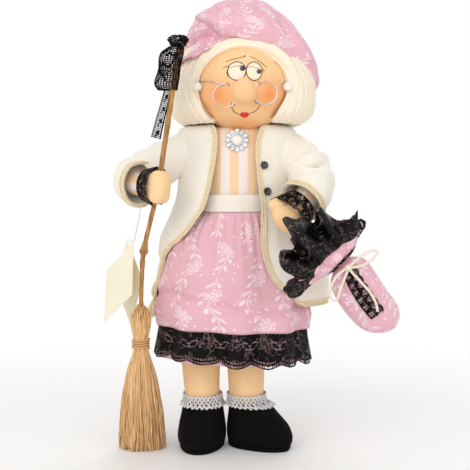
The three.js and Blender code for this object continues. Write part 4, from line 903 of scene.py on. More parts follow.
capShape = {
    "x": 5, "y": -2, "top": 441, "front": 396, "back": 332, "right": 382, "left": 350, "gathers": 18,
    "frill": 0.15, "ruffleAt": 213, "ruffleOut": 13, "ruffleDrop": 20, "ruffleCrease": 5,
    "softness": 3.2, "pleatDepth": 2.6,
}
capReach = along([
    # share of the height, then the reach to the right, left, front and back
    (0, 60, 64, 46, 52),
    (0.09, 60, 72, 49, 58),
    (0.2, 56, 68, 52, 60),
    (0.32, 52, 59, 49, 57),
    (0.46, 48, 46, 42, 50),
    (0.62, 35, 33, 33, 40),
    (0.78, 21, 22, 23, 27),
    (0.9, 11, 12, 13, 14),
    (1, 0, 0, 0, 0),
])


def capRim(turn):
    middle = (capShape["front"] + capShape["back"] + capShape["right"] + capShape["left"]) / 4
    sideways = (capShape["left"] - capShape["right"]) / 2
    backwards = (capShape["back"] - capShape["front"]) / 2
    saddle = (capShape["left"] + capShape["right"] - capShape["front"] - capShape["back"]) / 4
    return middle + sideways * cos(turn) + backwards * sin(turn) + saddle * cos(2 * turn)


capFolds = [
    # x and z of both ends, depth, width
    (-45, 419, -12, 393, 6.5, 3.2),
    (34, 422, 60, 372, 3.6, 3.4),
    (-30, 432, 2, 410, 2, 3),
]


def capFold(x, z):
    # a valley along each line, with a ridge on its upper side
    push = 0.0
    for x0, z0, x1, z1, depth, width in capFolds:
        reach = hypot(x1 - x0, z1 - z0)
        alongX, alongZ = (x1 - x0) / reach, (z1 - z0) / reach
        place = ((x - x0) * alongX + (z - z0) * alongZ) / reach
        above = ((z - z0) * alongX - (x - x0) * alongZ) / width
        window = hump(place - 0.5, 0.5, 4)
        push += depth * window * (0.7 * hump(above - 2.2, 1.5) - hump(above, 1))
    return push


def capSurface(u, v):
    turn = u * 2 * pi
    cosine, sine = cos(turn), sin(turn)
    share = clamp((v - capShape["frill"]) / (1 - capShape["frill"]))
    frill = clamp(1 - v / capShape["frill"])
    right, left, front, back = capReach(share)
    across = left if cosine > 0 else right
    deep = back if sine > 0 else front
    fromRuffle = (turn - radians(capShape["ruffleAt"]) + pi) % (2 * pi) - pi
    ruffleSide = hump(fromRuffle, 0.6, 4)
    droopSide = clamp(cosine * 1.4 - 0.3)
    gather = cos(capShape["gathers"] * turn + 5 * wander(cosine * 2, sine * 2))
    frillWave = cos(2 * capShape["gathers"] * turn + 3 * wander(cosine * 3, sine * 3))
    depth = 0.6 + 1.8 * ruffleSide + 1.2 * droopSide + (0.9 if sine > 0 else 0)
    ripple = depth * gather * (1 - share) ** 4
    belly = sin(pi * min(1, share * 1.15))
    soft = capShape["softness"] * wander(cosine * 1.6, sine * 1.6, share * 3) * belly
    pleat = capShape["pleatDepth"] * wander(cosine * 6, sine * 6, share * 1.1 + 4) * sin(pi * share)
    pleat *= 0.5 + droopSide + 1.4 * ruffleSide
    crease = -capShape["ruffleCrease"] * ruffleSide * hump(share, 0.07) * (1 - frill)
    flare = frill * ((capShape["ruffleOut"] + 2.4 * frillWave) * ruffleSide - 4.5 * (1 - ruffleSide))
    grow = ripple + soft + pleat + crease + flare
    rim = capRim(turn)
    drop = frill * ((capShape["ruffleDrop"] + 1.4 * frillWave) * ruffleSide - 1.5 * (1 - ruffleSide))
    rise = sin(share * pi / 2)
    x = capShape["x"] + (across + grow) * cosine
    z = rim - drop + (capShape["top"] - rim) * rise + soft * 0.4 * (1 - share)
    push = capFold(x, z) * clamp(-sine * 3) * (1 - frill)
    return x + push * cosine, capShape["y"] + (deep + grow + push) * sine, z


makeSheet("capCloth", (220, 70), capSurface, (460, 150), "head", floralCotton, "cap",
          1.2)
print("cap done")

# Trunk, waistband and brooch

trunkRows = along([
    (150, 27.6, 20.4), (162, 42.3, 31.3), (185, 46, 34), (243, 37, 33),
    (286, 48, 33), (300, 50, 32), (311.5, 48, 29), (317.5, 40, 23.8),
])
trunk = {"low": 150, "high": 317.5, "end": 0.04, "stripeShift": 1.5}
band = {"low": 234.5, "high": 251.5, "out": 2.0}


def trunkSurface(u, v):
    turn = u * 2 * pi - pi / 2
    share, shrink = drawnEnds(v, trunk["end"], trunk["end"])
    z = trunk["low"] + share * (trunk["high"] - trunk["low"])
    halfWidth, halfDepth = trunkRows(z)
    pucker = 0.5 * cos(22 * turn) * hump(z - band["high"], 12)
    return (
        trunkAcross + (halfWidth + pucker) * shrink * cos(turn),
        (halfDepth + pucker) * shrink * sin(turn),
        z,
    )


trunkCloth = makePadded("trunkCloth", (96, 60), trunkSurface, (252, 180), "doll", stripedCotton, "trunk")
for loop in trunkCloth.data.loops:
    # the stripes run straight down the front
    corner = trunkCloth.data.vertices[loop.vertex_index].co
    trunkCloth.data.uv_layers.active.data[loop.index].uv = (corner.x + trunk["stripeShift"] / 1000, corner.z)


def bandSurface(u, v):
    turn = u * 2 * pi - pi / 2
    z = band["low"] + v * (band["high"] - band["low"])
    halfWidth, halfDepth = trunkRows(z)
    out = band["out"] + 0.5 * sin(pi * v) + 0.25 * ringWander(turn, 6, v * 3)
    return trunkAcross + (halfWidth + out) * cos(turn), (halfDepth + out) * sin(turn), z


makeSheet("waistRibbon", (120, 10), bandSurface, (230, 17), "doll", creamRibbon, "waistband",
          1.4, rounded=True)

brooch = {
    "x": -3, "z": 303, "radius": 9.5, "stone": 5.2, "stoneDepth": 3.0, "beads": 12, "out": 2.2, "wire": 0.9,
}


def makeBrooch():
    halfDepth = trunkRows(brooch["z"])[1]
    y = -halfDepth - brooch["out"]
    parts = []
    for radius, wire in ((brooch["radius"] - brooch["wire"], brooch["wire"]), (brooch["stone"] + 0.4, 0.6)):
        parts.append(addRing((brooch["x"], y, brooch["z"]), radius, wire, 48))
    deselectAll()
    bpy.ops.mesh.primitive_cylinder_add(
        vertices=48, radius=(brooch["radius"] - 0.5) / 1000, depth=0.0012,
        location=at(brooch["x"], y + 0.9, brooch["z"]), rotation=(pi / 2, 0, 0))
    settle()
    parts.append(bpy.context.object)
    for part in parts:
        activate(part)
        bpy.ops.object.shade_smooth_by_angle(angle=radians(40))
    setting = joinPieces("broochSetting", parts)
    dress(setting, "doll", silverMetal, "brooch_setting")
    gems = []
    for i in range(brooch["beads"]):
        turn = 2 * pi * i / brooch["beads"]
        inner = (brooch["stone"] + brooch["radius"]) / 2 - 0.1
        outerSize = 2.1 if i % 2 else 1.6
        for reach, forward, size, deep in ((inner, 0.3, 1.35, 1.2), (brooch["radius"], -0.2, outerSize, 1.3)):
            place = (brooch["x"] + reach * cos(turn), y - forward, brooch["z"] + reach * sin(turn))
            gems.append(addBall("gem", place, (size, deep, size), 14, 8))
    dress(joinPieces("broochGems", gems), "doll", clearGem)
    stoneSize = (brooch["stone"], brooch["stoneDepth"], brooch["stone"])
    stone = addBall("broochStone", (brooch["x"], y - 0.9, brooch["z"]), stoneSize, 36, 20)
    dress(stone, "doll", pearlGloss, "brooch_stone")


makeBrooch()
print("trunk done")

# Skirt, its lace and the petticoat

skirtRows = along([
    # height, half the width, half the depth
    (86, 73.6, 59.6), (90, 73, 59), (122, 70, 56), (136, 71.5, 57.5),
    (178, 58.8, 49.3), (220, 46, 41), (234.1, 39.4, 35.4),
])
skirtShape = {
    "waist": 234.1, "hem": 121, "fullAt": 122, "folds": 9, "foldDepth": 3.2, "gathers": 34,
    "gatherDepth": 1.9, "creaseZ": 147, "creaseDepth": 3.4, "creaseRidge": 2.4, "tilt": 2.5, "tiltAt": 80,
}
skirtPuff = along([(0, 0), (0.1, 8), (0.22, 13), (0.5, 13.5), (0.7, 12), (1, 9)])


def skirtPoint(turn, z, inset):
    share = clamp((skirtShape["waist"] - z) / (skirtShape["waist"] - skirtShape["fullAt"]))
    halfWidth, halfDepth = skirtRows(z)
    fold = skirtShape["foldDepth"] * share * cos(skirtShape["folds"] * turn + 1.5 * share)
    fold += 2.2 * share * ringWander(turn, 2.4, share)
    gather = skirtShape["gatherDepth"] * cos(skirtShape["gathers"] * turn + 3 * ringWander(turn, 3))
    fold += gather * exp(-share / 0.26) * min(1, share * 8)
    creaseAt = skirtShape["creaseZ"] + 7 * sin(2 * turn + 0.7) + 3 * ringWander(turn, 3, 2)
    inFront = clamp(0.4 - 1.2 * sin(turn))
    fold -= skirtShape["creaseDepth"] * hump(z - creaseAt, 4.2) * inFront
    fold += skirtShape["creaseRidge"] * hump(z - creaseAt - 9, 6.5) * inFront
    reach = halfWidth + fold - inset
    if cos(turn) < 0:
        reach += skirtPuff(share)[0] * cos(turn) ** 2
    return trunkAcross + reach * cos(turn), (halfDepth + fold - inset) * sin(turn)


def skirtSurface(u, v):
    turn = u * 2 * pi - pi / 2
    under = clamp((v - 0.9) / 0.1)
    z = skirtShape["waist"] - clamp(v / 0.9) * (skirtShape["waist"] - skirtShape["hem"])
    x, y = skirtPoint(turn, z, 2.4 * under * under)
    return x, y, z + 1.6 * under - skirtShape["tilt"] * v ** 3 * x / skirtShape["tiltAt"]


makeSheet("skirtCloth", (260, 60), skirtSurface, (400, 132), "doll", floralCotton, "skirt",
          1.1)


def laceOpen(column, row, x, y, length, repeat):
    # True where the lace is open: pinholes, ringed flowers, and open lines above a scalloped edge; mm
    place = x / repeat - floor(x / repeat) - 0.5
    edge = length - 0.16 * repeat * (2 * place) ** 2
    fromEdge = edge - y
    if fromEdge < 0:
        return True
    if y < 1.0 or fromEdge < 1.5:
        return False
    if length > 10 and fromEdge < 2.8:
        return column % 3 != 0
    if length > 25 and 5 < fromEdge < 6.4 and abs(place) < 0.36:
        return column % 4 != 0
    size = min(repeat, length)
    rowsOfFlowers = max(1, round(length / size))
    for number in range(rowsOfFlowers):
        shifted = x / repeat + 0.5 * (number % 2)
        across = (shifted - floor(shifted) - 0.5) * repeat
        down = y - length * (number + 0.42) / rowsOfFlowers * 0.95
        radius, turn = hypot(across, down), atan2(down, across)
        flower = 0.32 * size * (0.76 + 0.24 * cos(5 * turn + pi / 2))
        if radius < flower:
            return min(abs(radius - 0.42 * flower), abs(radius - 0.82 * flower)) < 0.6 and column % 5 != 0
        for lean in (-1, 1):
            beside, below = across - lean * 0.37 * repeat, down - 0.1 * size
            lengthwise = (0.76 * beside + 0.64 * lean * below) / (0.21 * size)
            sideways = (0.76 * below - 0.64 * lean * beside) / (0.1 * size)
            leaf = hypot(lengthwise, sideways)
            if leaf < 1:
                return leaf > 0.62 and row % 4 != 0
    return row % 5 == 2 and (column + 2 * ((row // 5) % 2)) % 5 == 2


def chainOpen(column, row, x, y, length, repeat):
    # True where the ankle lace is open: three rows of diamonds between scalloped edges; mm
    place = x / repeat - floor(x / repeat) - 0.5
    scallop = 0.3 * repeat * (2 * place) ** 2
    if y < scallop or y > length - scallop:
        return True
    for share, shift in ((0.28, 0.0), (0.5, 0.5), (0.72, 0.0)):
        across = abs((place + shift + 0.5) % 1 - 0.5)
        if across / 0.27 + abs(y / length - share) / 0.12 < 1:
            return True
    return False


def ruffleOpen(column, row, x, y, length, repeat):
    # True where the bag's ruffles are open: pinholes inside a solid, wavy edge; mm
    edge = length - 0.07 * repeat * (1 - cos(2 * pi * x / repeat))
    if y > edge:
        return True
    if y < 1 or edge - y < 2.4:
        return False
    return row % 4 == 1 and (column + 2 * ((row // 4) % 2)) % 4 == 1


def sheerOpen(column, row, x, y, length, repeat):
    # True where the bow's ribbon is open: a fine net with bound edges, dots and leaf outlines; mm
    if y < 1.3 or y > length - 1.3:
        return False
    for number in range(max(1, round(length / repeat))):
        shifted = x / repeat + 0.5 * (number % 2)
        across = (shifted - floor(shifted) - 0.5) * repeat
        down = y - (number + 0.5) * repeat
        if hypot(across, down) < 0.17 * repeat:
            return False
        leaf = hypot((across - 0.36 * repeat) / 0.22, (down - 0.2 * repeat) / 0.36) / repeat
        if 0.85 < leaf < 1.2:
            return False
    return column % 3 != 0 and row % 3 != 0


def cutLace(piece, flat, counts, repeat, pattern):
    # opens the lace's holes in the flat grid, then rounds the cut threads
    mesh = piece.data
    uvLayer = mesh.uv_layers.active.data
    holes = []
    for face in mesh.polygons:
        u = sum(uvLayer[i].uv[0] for i in face.loop_indices) / len(face.loop_indices) * 1000
        v = sum(uvLayer[i].uv[1] for i in face.loop_indices) / len(face.loop_indices) * 1000
        column, row = int(u / flat[0] * counts[0]), int(v / flat[1] * counts[1])
        if pattern(column, row, u, v, flat[1], repeat):
            holes.append(face.index)
    work = bmesh.new()
    work.from_mesh(mesh)
    work.faces.ensure_lookup_table()
    bmesh.ops.delete(work, geom=[work.faces[i] for i in holes], context="FACES")
    work.to_mesh(mesh)
    work.free()
    finishWith(piece, "SMOOTH", factor=0.5, iterations=2)


def laceStrip(name, surface, flat, repeat, body, finish, node, grain, pattern=laceOpen,
              thickness=0.6):
    # repeat is the motif's width and grain is the grid's, in mm
    repeat = flat[0] / max(1, round(flat[0] / repeat))
    counts = (round(flat[0] / grain), max(4, round(flat[1] / grain)))
    strip = clothGrid(name, *counts, surface, flat)
    cutLace(strip, flat, counts, repeat, pattern)
    finishWith(strip, "SOLIDIFY", thickness=thickness / 1000, offset=0)
    dress(strip, body, finish, *([node] if node else []))
    return strip


skirtLaceShape = {"top": 128, "bottom": 88, "inset": 2.6, "repeat": 29.4, "tilt": 4}


def skirtLaceSurface(u, v):
    turn = u * 2 * pi - pi / 2 + 0.6
    z = skirtLaceShape["top"] - v * (skirtLaceShape["top"] - skirtLaceShape["bottom"])
    x, y = skirtPoint(turn, z, skirtLaceShape["inset"])
    ruffle = 0.9 * v * cos(27 * turn + 2 * ringWander(turn, 4))
    ruffle += 3.6 * v * (0.5 + 0.5 * cos(11 * turn + 4 * ringWander(turn, 2, 5)))
    z -= v * (skirtLaceShape["tilt"] * x / skirtShape["tiltAt"] + 2 * ringWander(turn, 3, 9))
    return x + ruffle * cos(turn), y + ruffle * sin(turn), z


laceStrip("skirtLace", skirtLaceSurface, (441, 41), skirtLaceShape["repeat"], "doll", blackLace,
          "skirt_lace", 0.72)


petticoat = {"top": 134, "bottom": 89, "inset": 5.2, "tilt": 1.5}


def petticoatSurface(u, v):
    turn = u * 2 * pi - pi / 2
    z = petticoat["top"] - v * (petticoat["top"] - petticoat["bottom"])
    x, y = skirtPoint(turn, z, petticoat["inset"])
    return x, y, z - v * petticoat["tilt"] * x / skirtShape["tiltAt"]


makeSheet("petticoatCloth", (200, 24), petticoatSurface, (420, 45), "doll", pinkLining,
          "petticoat", 0.9)
print("skirt done")

# Legs, ankle frills and shoes

legShape = {
    "ankleX": -14, "ankleSpread": 23.5, "ankleY": -4, "ankleZ": 44, "lean": 6, "hipZ": 164,
    "frillTop": 53, "frillWidth": 12.5, "frillRadius": 18.6, "frillRim": 45.5, "frillFall": 7.5,
    "shift": {"right": 0, "left": -3},
}
legSize = along([(0, 17.2), (0.08, 17.4), (0.5, 20), (0.9, 19), (1, 18)])
shoeSize = along([
    (0, 0.97, 0.98, 0.98), (0.1, 1.04, 1.03, 1.02), (0.28, 1.07, 1.03, 1.03),
    (0.5, 1.02, 0.94, 1.02), (0.72, 0.95, 0.72, 0.98), (0.9, 0.9, 0.52, 0.94), (1, 0.84, 0.42, 0.88),
])
shoeShape = {
    "halfWidths": {"right": 22.6, "left": 21.5}, "toes": {"right": 38.5, "left": 46},
    "turns": {"right": -8, "left": 58}, "heel": 22, "top": 44, "sole": 4,
}


def makeLegCloth(side, word, shin, hip):
    def legSurface(u, v):
        turn = u * 2 * pi
        share, shrink = drawnEnds(v, 0.03, 0.03)
        radius = legSize(share)[0] * shrink
        radius += 0.5 * wander(cos(turn) * 1.5, sin(turn) * 1.5 + side * 5, share * 6)
        middle = shin.lerp(hip, share)
        return middle.x + radius * cos(turn), middle.y + radius * sin(turn), middle.z

    return makePadded(f"legCloth_{word}", (48, 50), legSurface, (120, 125), "doll", legCottonPaintedLight, f"leg_{word}")


def shoePoint(ankle, word, turn, z, shrink):
    share = (z - shoeShape["sole"]) / (shoeShape["top"] - shoeShape["sole"])
    wide, toe, heel = shoeSize(clamp(share))
    deep = heel * shoeShape["heel"] if sin(turn) > 0 else toe * shoeShape["toes"][word]
    x = shoeShape["halfWidths"][word] * wide * cos(turn) * shrink
    y = deep * sin(turn) * shrink
    spin = radians(shoeShape["turns"][word])
    return ankle.x + x * cos(spin) - y * sin(spin), ankle.y + x * sin(spin) + y * cos(spin)


def makeFrill(side, word, shin, onShoe):
    spin = radians(shoeShape["turns"][word])

    def frillSurface(u, v):
        # round the ankle at its top and over the shoe's rim at its foot
        turn = u * 2 * pi
        z = legShape["frillTop"] - v * legShape["frillWidth"]
        x, y = onShoe(turn - spin, z, 1.07)
        toward = clamp(cos(turn + pi / 2 - spin))  # the toe
        over = clamp((legShape["frillRim"] - z) / legShape["frillFall"] * (1 + 0.7 * toward))
        ripple = 0.5 + 0.5 * cos(11 * turn + 2 * ringWander(turn, 3, side))
        out = 0.9 + 1.5 * v * ripple + 0.9 * over
        x = x * over + (shin.x + legShape["frillRadius"] * cos(turn)) * (1 - over) + out * cos(turn)
        y = y * over + (shin.y + legShape["frillRadius"] * sin(turn)) * (1 - over) + out * sin(turn)
        return x, y, z + 0.8 * ripple * v

    laceStrip(f"sockLace_{word}", frillSurface, (140, legShape["frillWidth"]), 4.6, "doll", whiteLace,
              f"sock_lace_{word}", 0.5, chainOpen, 0.8)


def makeShoe(side, word, onShoe):
    def shoeSurface(u, v):
        turn = u * 2 * pi
        rim = clamp((v - 0.82) / 0.18)
        low = clamp(v / 0.06)
        z = shoeShape["sole"] + clamp((v - 0.06) / 0.76) * (shoeShape["top"] - shoeShape["sole"])
        x, y = onShoe(turn, z, (0.06 + 0.94 * low) * (1 - 0.3 * rim * rim))
        lump = 0.7 * wander(cos(turn) * 2.5, sin(turn) * 2.5 + side * 9, v * 4)
        return x + lump * cos(turn), y + lump * sin(turn), z + 0.8 * sin(pi * rim) - 5 * rim * rim

    shoe = clothGrid(f"shoeFelt_{word}", 64, 40, shoeSurface, (150, 60), joined=True)
    finishWith(shoe, "SOLIDIFY", thickness=0.0016, offset=-1)
    dress(shoe, "doll", blackFelt, f"shoe_{word}")


def makeSole(word, onShoe):
    # the first and last fifth of the grid close the foot and the top
    high, end = shoeShape["sole"] - 0.1, 0.2

    def soleSurface(u, v):
        if v < end:
            z, shrink = 0.0, 0.97 * v / end
        elif v > 1 - end:
            z, shrink = high, 1.02 * (1 - v) / end
        else:
            wall = (v - end) / (1 - 2 * end)
            z, shrink = wall * high, 0.97 + 0.05 * sin(wall * pi / 2)
        return *onShoe(u * 2 * pi, shoeShape["sole"], max(shrink, 0.001)), z

    sole = clothGrid(f"soleFelt_{word}", 64, 20, soleSurface, (150, 40), joined=True)
    dress(sole, "doll", blackFelt, f"sole_{word}")


def makeLeg(side, word):
    ankleX = legShape["ankleX"] + side * legShape["ankleSpread"]
    ankle = Vector((ankleX, legShape["ankleY"], legShape["ankleZ"]))
    shin = ankle + Vector((legShape["shift"][word], 0, 0))
    hip = Vector((ankle.x - legShape["lean"], 0, legShape["hipZ"]))
    onShoe = partial(shoePoint, ankle, word)
    leg = makeLegCloth(side, word, shin, hip)
    makeFrill(side, word, shin, onShoe)
    makeShoe(side, word, onShoe)
    makeSole(word, onShoe)


makeLeg(-1, "right")
makeLeg(1, "left")
print("legs done")

# Coat with its edging and buttons

coatRows = along([
    (0, 318.2, 34, 27), (0.1, 316, 54.5, 32), (0.16, 308, 58.5, 35), (0.3, 280, 56.5, 39),
    (0.48, 243, 61, 43), (0.74, 190, 86.5, 58.5), (1, 137, 91, 68),
])
coatRight = along([
    (0, -30), (0.16, -22), (0.3, -24), (0.5, -34), (0.58, -47),
    (0.67, -65), (0.76, -76), (0.9, -82), (1, -84),
])
coatLeft = along([(0, 26), (0.2, 15), (0.34, 16), (0.5, 20), (0.66, 20), (0.76, 24), (0.87, 35), (1, 64)])
coatShape = {"thickness": 2.4, "folds": 6, "foldDepth": 2.6, "lay": 0.98, "clear": 2.4}


def coatPoint(u, v, out=0.0):
    z, halfWidth, halfDepth = coatRows(v)
    right, left = coatRight(v)[0], coatLeft(v)[0]
    near = coatShape["lay"] * clamp((v - 0.5) * 6)
    underRight = trunkAcross - skirtPoint(pi, min(z, skirtShape["waist"]), -coatShape["clear"])[0]
    underLeft = skirtPoint(0, min(z, skirtShape["waist"]), -coatShape["clear"])[0] - trunkAcross
    reachRight = halfWidth + (underRight - halfWidth) * near
    reachLeft = halfWidth + (underLeft - halfWidth) * near
    start = -pi / 2 + asin(clamp((right - trunkAcross) / reachRight, -1, 1))
    end = -pi / 2 + asin(clamp((left - trunkAcross) / reachLeft, -1, 1))
    turn = start - u * (start - end + 2 * pi)
    fold = coatShape["foldDepth"] * cos(coatShape["folds"] * turn) * v * v
    fold += 1.6 * ringWander(turn, 2, v * 3) * v
    x = trunkAcross + (halfWidth + fold + out) * cos(turn)
    y = (halfDepth + fold + out) * sin(turn)
    lay = near * exp(-min(u, 1 - u) / 0.08)
    skirtX, skirtY = skirtPoint(turn, min(z, skirtShape["waist"]), -coatShape["clear"] - out)
    return x + (skirtX - x) * lay, y + (skirtY - y) * lay, z + 0.07 * x * v ** 3


makeSheet("coatCloth", (160, 70), coatPoint, (470, 210), "doll", creamFleece, "coat",
          coatShape["thickness"], joined=False, rounded=True)


edging = {"rows": (0.4, 2.6, 4.8), "cuffRows": (0.2, 2.4, 4.6), "beads": (1.35, 1.0, 1.35), "pitch": 2.3,
          "out": 1.5, "stitches": 60, "coatWidth": 420, "coatLength": 205}


def picotEdge(name, points, body, bead):
    # a crocheted edging: a small bead at every stitch
    run = smoothPath(points, 4)
    spots = []
    gone = 0.0
    for first, second in zip(run, run[1:]):
        step = (second - first).length
        while gone <= step:
            spots.append(first.lerp(second, gone / step))
            gone += edging["pitch"]
        gone -= step
    beads = bmesh.new()
    for spot in spots:
        made = bmesh.ops.create_icosphere(beads, subdivisions=1, radius=bead / 1000)
        for vertex in made["verts"]:
            vertex.co = vertex.co + at(*spot)
    mesh = bpy.data.meshes.new(name)
    beads.to_mesh(mesh)
    beads.free()
    piece = bpy.data.objects.new(name, mesh)
    scene.collection.objects.link(piece)
    activate(piece)
    bpy.ops.object.shade_smooth()
    return dress(piece, body, peachTrim)


def coatEdgeRuns():
    # the edging's rows along both fronts and the hem
    for number, (inset, bead) in enumerate(zip(edging["rows"], edging["beads"])):
        share = inset / edging["coatWidth"]
        fall = inset / edging["coatLength"]
        count = edging["stitches"]
        for word, u in (("right", share), ("left", 1 - share)):
            points = [coatPoint(u, 0.02 + 0.97 * i / count, edging["out"]) for i in range(count + 1)]
            picotEdge(f"coatEdge_{word}{number}", points, "doll", bead)
        hem = [coatPoint(i / (3 * count), 1 - fall, edging["out"]) for i in range(3 * count + 1)]
        picotEdge(f"coatHem{number}", hem, "doll", bead)


coatEdgeRuns()

buttons = {"upper": 279, "spacing": 25, "radius": 3.8, "fromEdge": 7.5, "coatWidth": 330, "thickness": 2.2}


def coatAtHeight(z):
    low, high = 0.0, 1.0
    for step in range(40):
        middle = (low + high) / 2
        if coatRows(middle)[0] > z:
            low = middle
        else:
            high = middle
    return low


def makeButton(word, z):
    v = coatAtHeight(z)
    u = 1 - buttons["fromEdge"] / buttons["coatWidth"]
    here, there = Vector(coatPoint(u, v)), Vector(coatPoint(u - 0.01, v))
    below = Vector(coatPoint(u, v + 0.02))
    outward = (there - here).cross(below - here).normalized()
    if outward.y > 0:
        outward = -outward
    place = here + outward * (coatShape["thickness"] / 2 + buttons["thickness"] * 0.5)
    tilt = Vector((0, 0, 1)).rotation_difference(outward).to_euler()
    deselectAll()
    bpy.ops.mesh.primitive_cylinder_add(vertices=40, radius=buttons["radius"] / 1000,
                                        depth=buttons["thickness"] / 1000, location=at(*place), rotation=tilt)
    button = bpy.context.object
    button.name = f"button_{word}"
    button.data.name = button.name
    bpy.ops.object.mode_set(mode="EDIT")
    bpy.ops.mesh.select_all(action="DESELECT")
    bpy.ops.mesh.select_mode(type="FACE")
    bpy.ops.object.mode_set(mode="OBJECT")
    top = max(button.data.polygons, key=lambda face: face.center.z)
    top.select = True
    bpy.ops.object.mode_set(mode="EDIT")
    bpy.ops.mesh.inset(thickness=0.0011)
    bpy.ops.mesh.inset(thickness=0.0003, depth=-0.0006)
    bpy.ops.object.mode_set(mode="OBJECT")
    settle()
    finishWith(button, "BEVEL", width=0.0005, segments=3, limit_method="ANGLE")
    bpy.ops.object.shade_smooth_by_angle(angle=radians(35))
    dress(button, "doll", blackGloss, f"coat_button_{word}")


makeButton("upper", buttons["upper"])
makeButton("lower", buttons["upper"] - buttons["spacing"])
print("coat done")

# Arms with sleeves, lace cuffs and mitten hands

armShapes = {
    # elbowFolds: height, half the width, depth and slope of each
    "right": {
        "side": -1, "stub": (-53.4, 0, 300), "cuff": (-94.4, -38, 261), "way": (0.73, -0.67, -0.1),
        "bend": 36, "body": "right_arm", "tall": (0, 0, 1), "square": 0.52, "lace": (-7, 10), "flare": 3.4,
        "elbowFolds": (),
    },
    "left": {
        "side": 1, "stub": (47.4, 0, 300), "cuff": (58, -52, 245), "way": (-0.6, -0.5, -0.63),
        "bend": 44, "body": "left_arm", "tall": (-0.62, 0, 0.78), "square": 1.0, "lace": (-12, 9),
        "flare": 6.5,
        "elbowFolds": ((279.5, 2.0, -9.5, 0.1), (285.5, 3.6, 4.6, 0.1), (272.5, 1.9, -6.2, 0.16)),
    },
}
shoulder = {"inside": 11, "rise": 1, "out": 18, "forward": 6, "fall": 13}
sleeveSize = along([(0, 15.5), (0.2, 18.4), (0.5, 20), (0.85, 20.4), (1, 20.3)])
armSize = along([(0, 13), (0.6, 12), (1, 10.5)])
mitten = {
    "wrist": 13, "wristShare": 0.16, "gap": 0.4, "length": 23, "stitchLifts": (-5, 0, 5), "stitchRadius": 0.3,
    "thumb": (8.4, 6.4, 6.8), "thumbAhead": 9, "thumbUp": 15,
}
handSize = along([
    # share, half the height, half the thickness
    (0, 8.6, 6.8), (0.1, 10.4, 8.0), (0.35, 14.2, 9.4), (0.62, 15.4, 9.5),
    (0.82, 13.4, 8.2), (0.95, 8.2, 5.0), (1, 0.3, 0.3),
])


def frameAlong(path):
    # at every point of the path: the point, its way, and two directions across
    frames = []
    side = None
    for i, p in enumerate(path):
        way = (path[min(i + 1, len(path) - 1)] - path[max(i - 1, 0)]).normalized()
        if side is None:
            side = way.cross(Vector((0, 0, 1)))
            if side.length < 0.1:
                side = way.cross(Vector((0, 1, 0)))
        side = (side - way * side.dot(way)).normalized()
        frames.append((p, way, side, way.cross(side)))
    return frames


def armCurve(shape):
    # the arm's run from inside the trunk to the cuff, by the share of its length
    steps = 60
    side, stub, cuff = shape["side"], Vector(shape["stub"]), Vector(shape["cuff"])
    root = stub + Vector((-side * shoulder["inside"], 0, shoulder["rise"]))
    first = root + Vector((side * shoulder["out"], -shoulder["forward"], -shoulder["fall"]))
    second = cuff - shape["bend"] * Vector(shape["way"]).normalized()
    path = []
    for i in range(steps + 1):
        t = i / steps
        rest = 1 - t
        path.append(root * rest ** 3 + first * 3 * t * rest ** 2 + second * 3 * t * t * rest + cuff * t ** 3)
    frames = frameAlong(path)

    def onFrame(share):
        spot = clamp(share) * steps
        i = min(int(spot), steps - 1)
        k = spot - i
        return [here.lerp(there, k) for here, there in zip(frames[i], frames[i + 1])]

    return onFrame


def makeSleeve(word, shape, onFrame):
    side, cuff = shape["side"], Vector(shape["cuff"])

    def lump(turn, v):
        return 1.2 * wander(cos(turn) * 1.6, sin(turn) * 1.6 + 4 * side, v * 4)

    def sleeveSurface(u, v):
        turn = u * 2 * pi
        p, ahead, across, up = onFrame(v)
        bendWay = cos(turn) if side < 0 else -cos(turn)
        wrinkle = 2.0 * hump(v - 0.52, 0.26) * sin(v * 36 + 2.5 * ringWander(turn, 1.5, side))
        radius = sleeveSize(v)[0] + wrinkle * (0.55 + 0.45 * bendWay) + lump(turn, v)
        inside = 5 * clamp((0.06 - v) / 0.06)
        outward = across * cos(turn) + up * sin(turn)
        spot = p - ahead * inside + outward * radius
        for height, wide, deep, tilt in shape["elbowFolds"]:
            reach = clamp((v - 0.2) / 0.15) * clamp((0.95 - v) / 0.15) * clamp(0.35 - outward.y)
            reach *= clamp((spot.x - cuff.x + 6) / 16) * (1 - 0.75 * clamp((outward.x - 0.35) / 0.5))
            level = spot.z - height - tilt * (spot.x - cuff.x)
            spot = spot + outward * deep * reach * hump(level, wide)
        return spot

    makeSheet(f"sleeveCloth_{word}", (72, 60), sleeveSurface, (124, 110), shape["body"], creamFleece,
              f"sleeve_{word}", coatShape["thickness"], rounded=True)
    p, ahead, across, up = onFrame(1)
    for number, (back, bead) in enumerate(zip(edging["cuffRows"], edging["beads"])):
        ring = []
        for i in range(edging["stitches"] + 1):
            turn = 2 * pi * i / edging["stitches"]
            radius = sleeveSize(1)[0] + 1.6 + lump(turn, 1)
            ring.append(p - ahead * back + (across * cos(turn) + up * sin(turn)) * radius)
        picotEdge(f"cuffEdge_{word}{number}", ring, shape["body"], bead)


def makeForearm(word, shape, onFrame, way):
    # it runs on past the cuff to the wrist
    def armSurface(u, v):
        turn = u * 2 * pi
        share, shrink = drawnEnds(v, 0.03, 0.03)
        past = share * (1 + mitten["wristShare"]) - 1
        p, ahead, across, up = onFrame(1 + past)
        if past > 0:
            p = p + way * past / mitten["wristShare"] * mitten["wrist"]
        radius = armSize(share)[0] * max(shrink, 0.001)
        return p + (across * cos(turn) + up * sin(turn)) * radius

    return makePadded(f"armCloth_{word}", (40, 50), armSurface, (72, 120), shape["body"], stripedCotton,
                      f"arm_{word}")


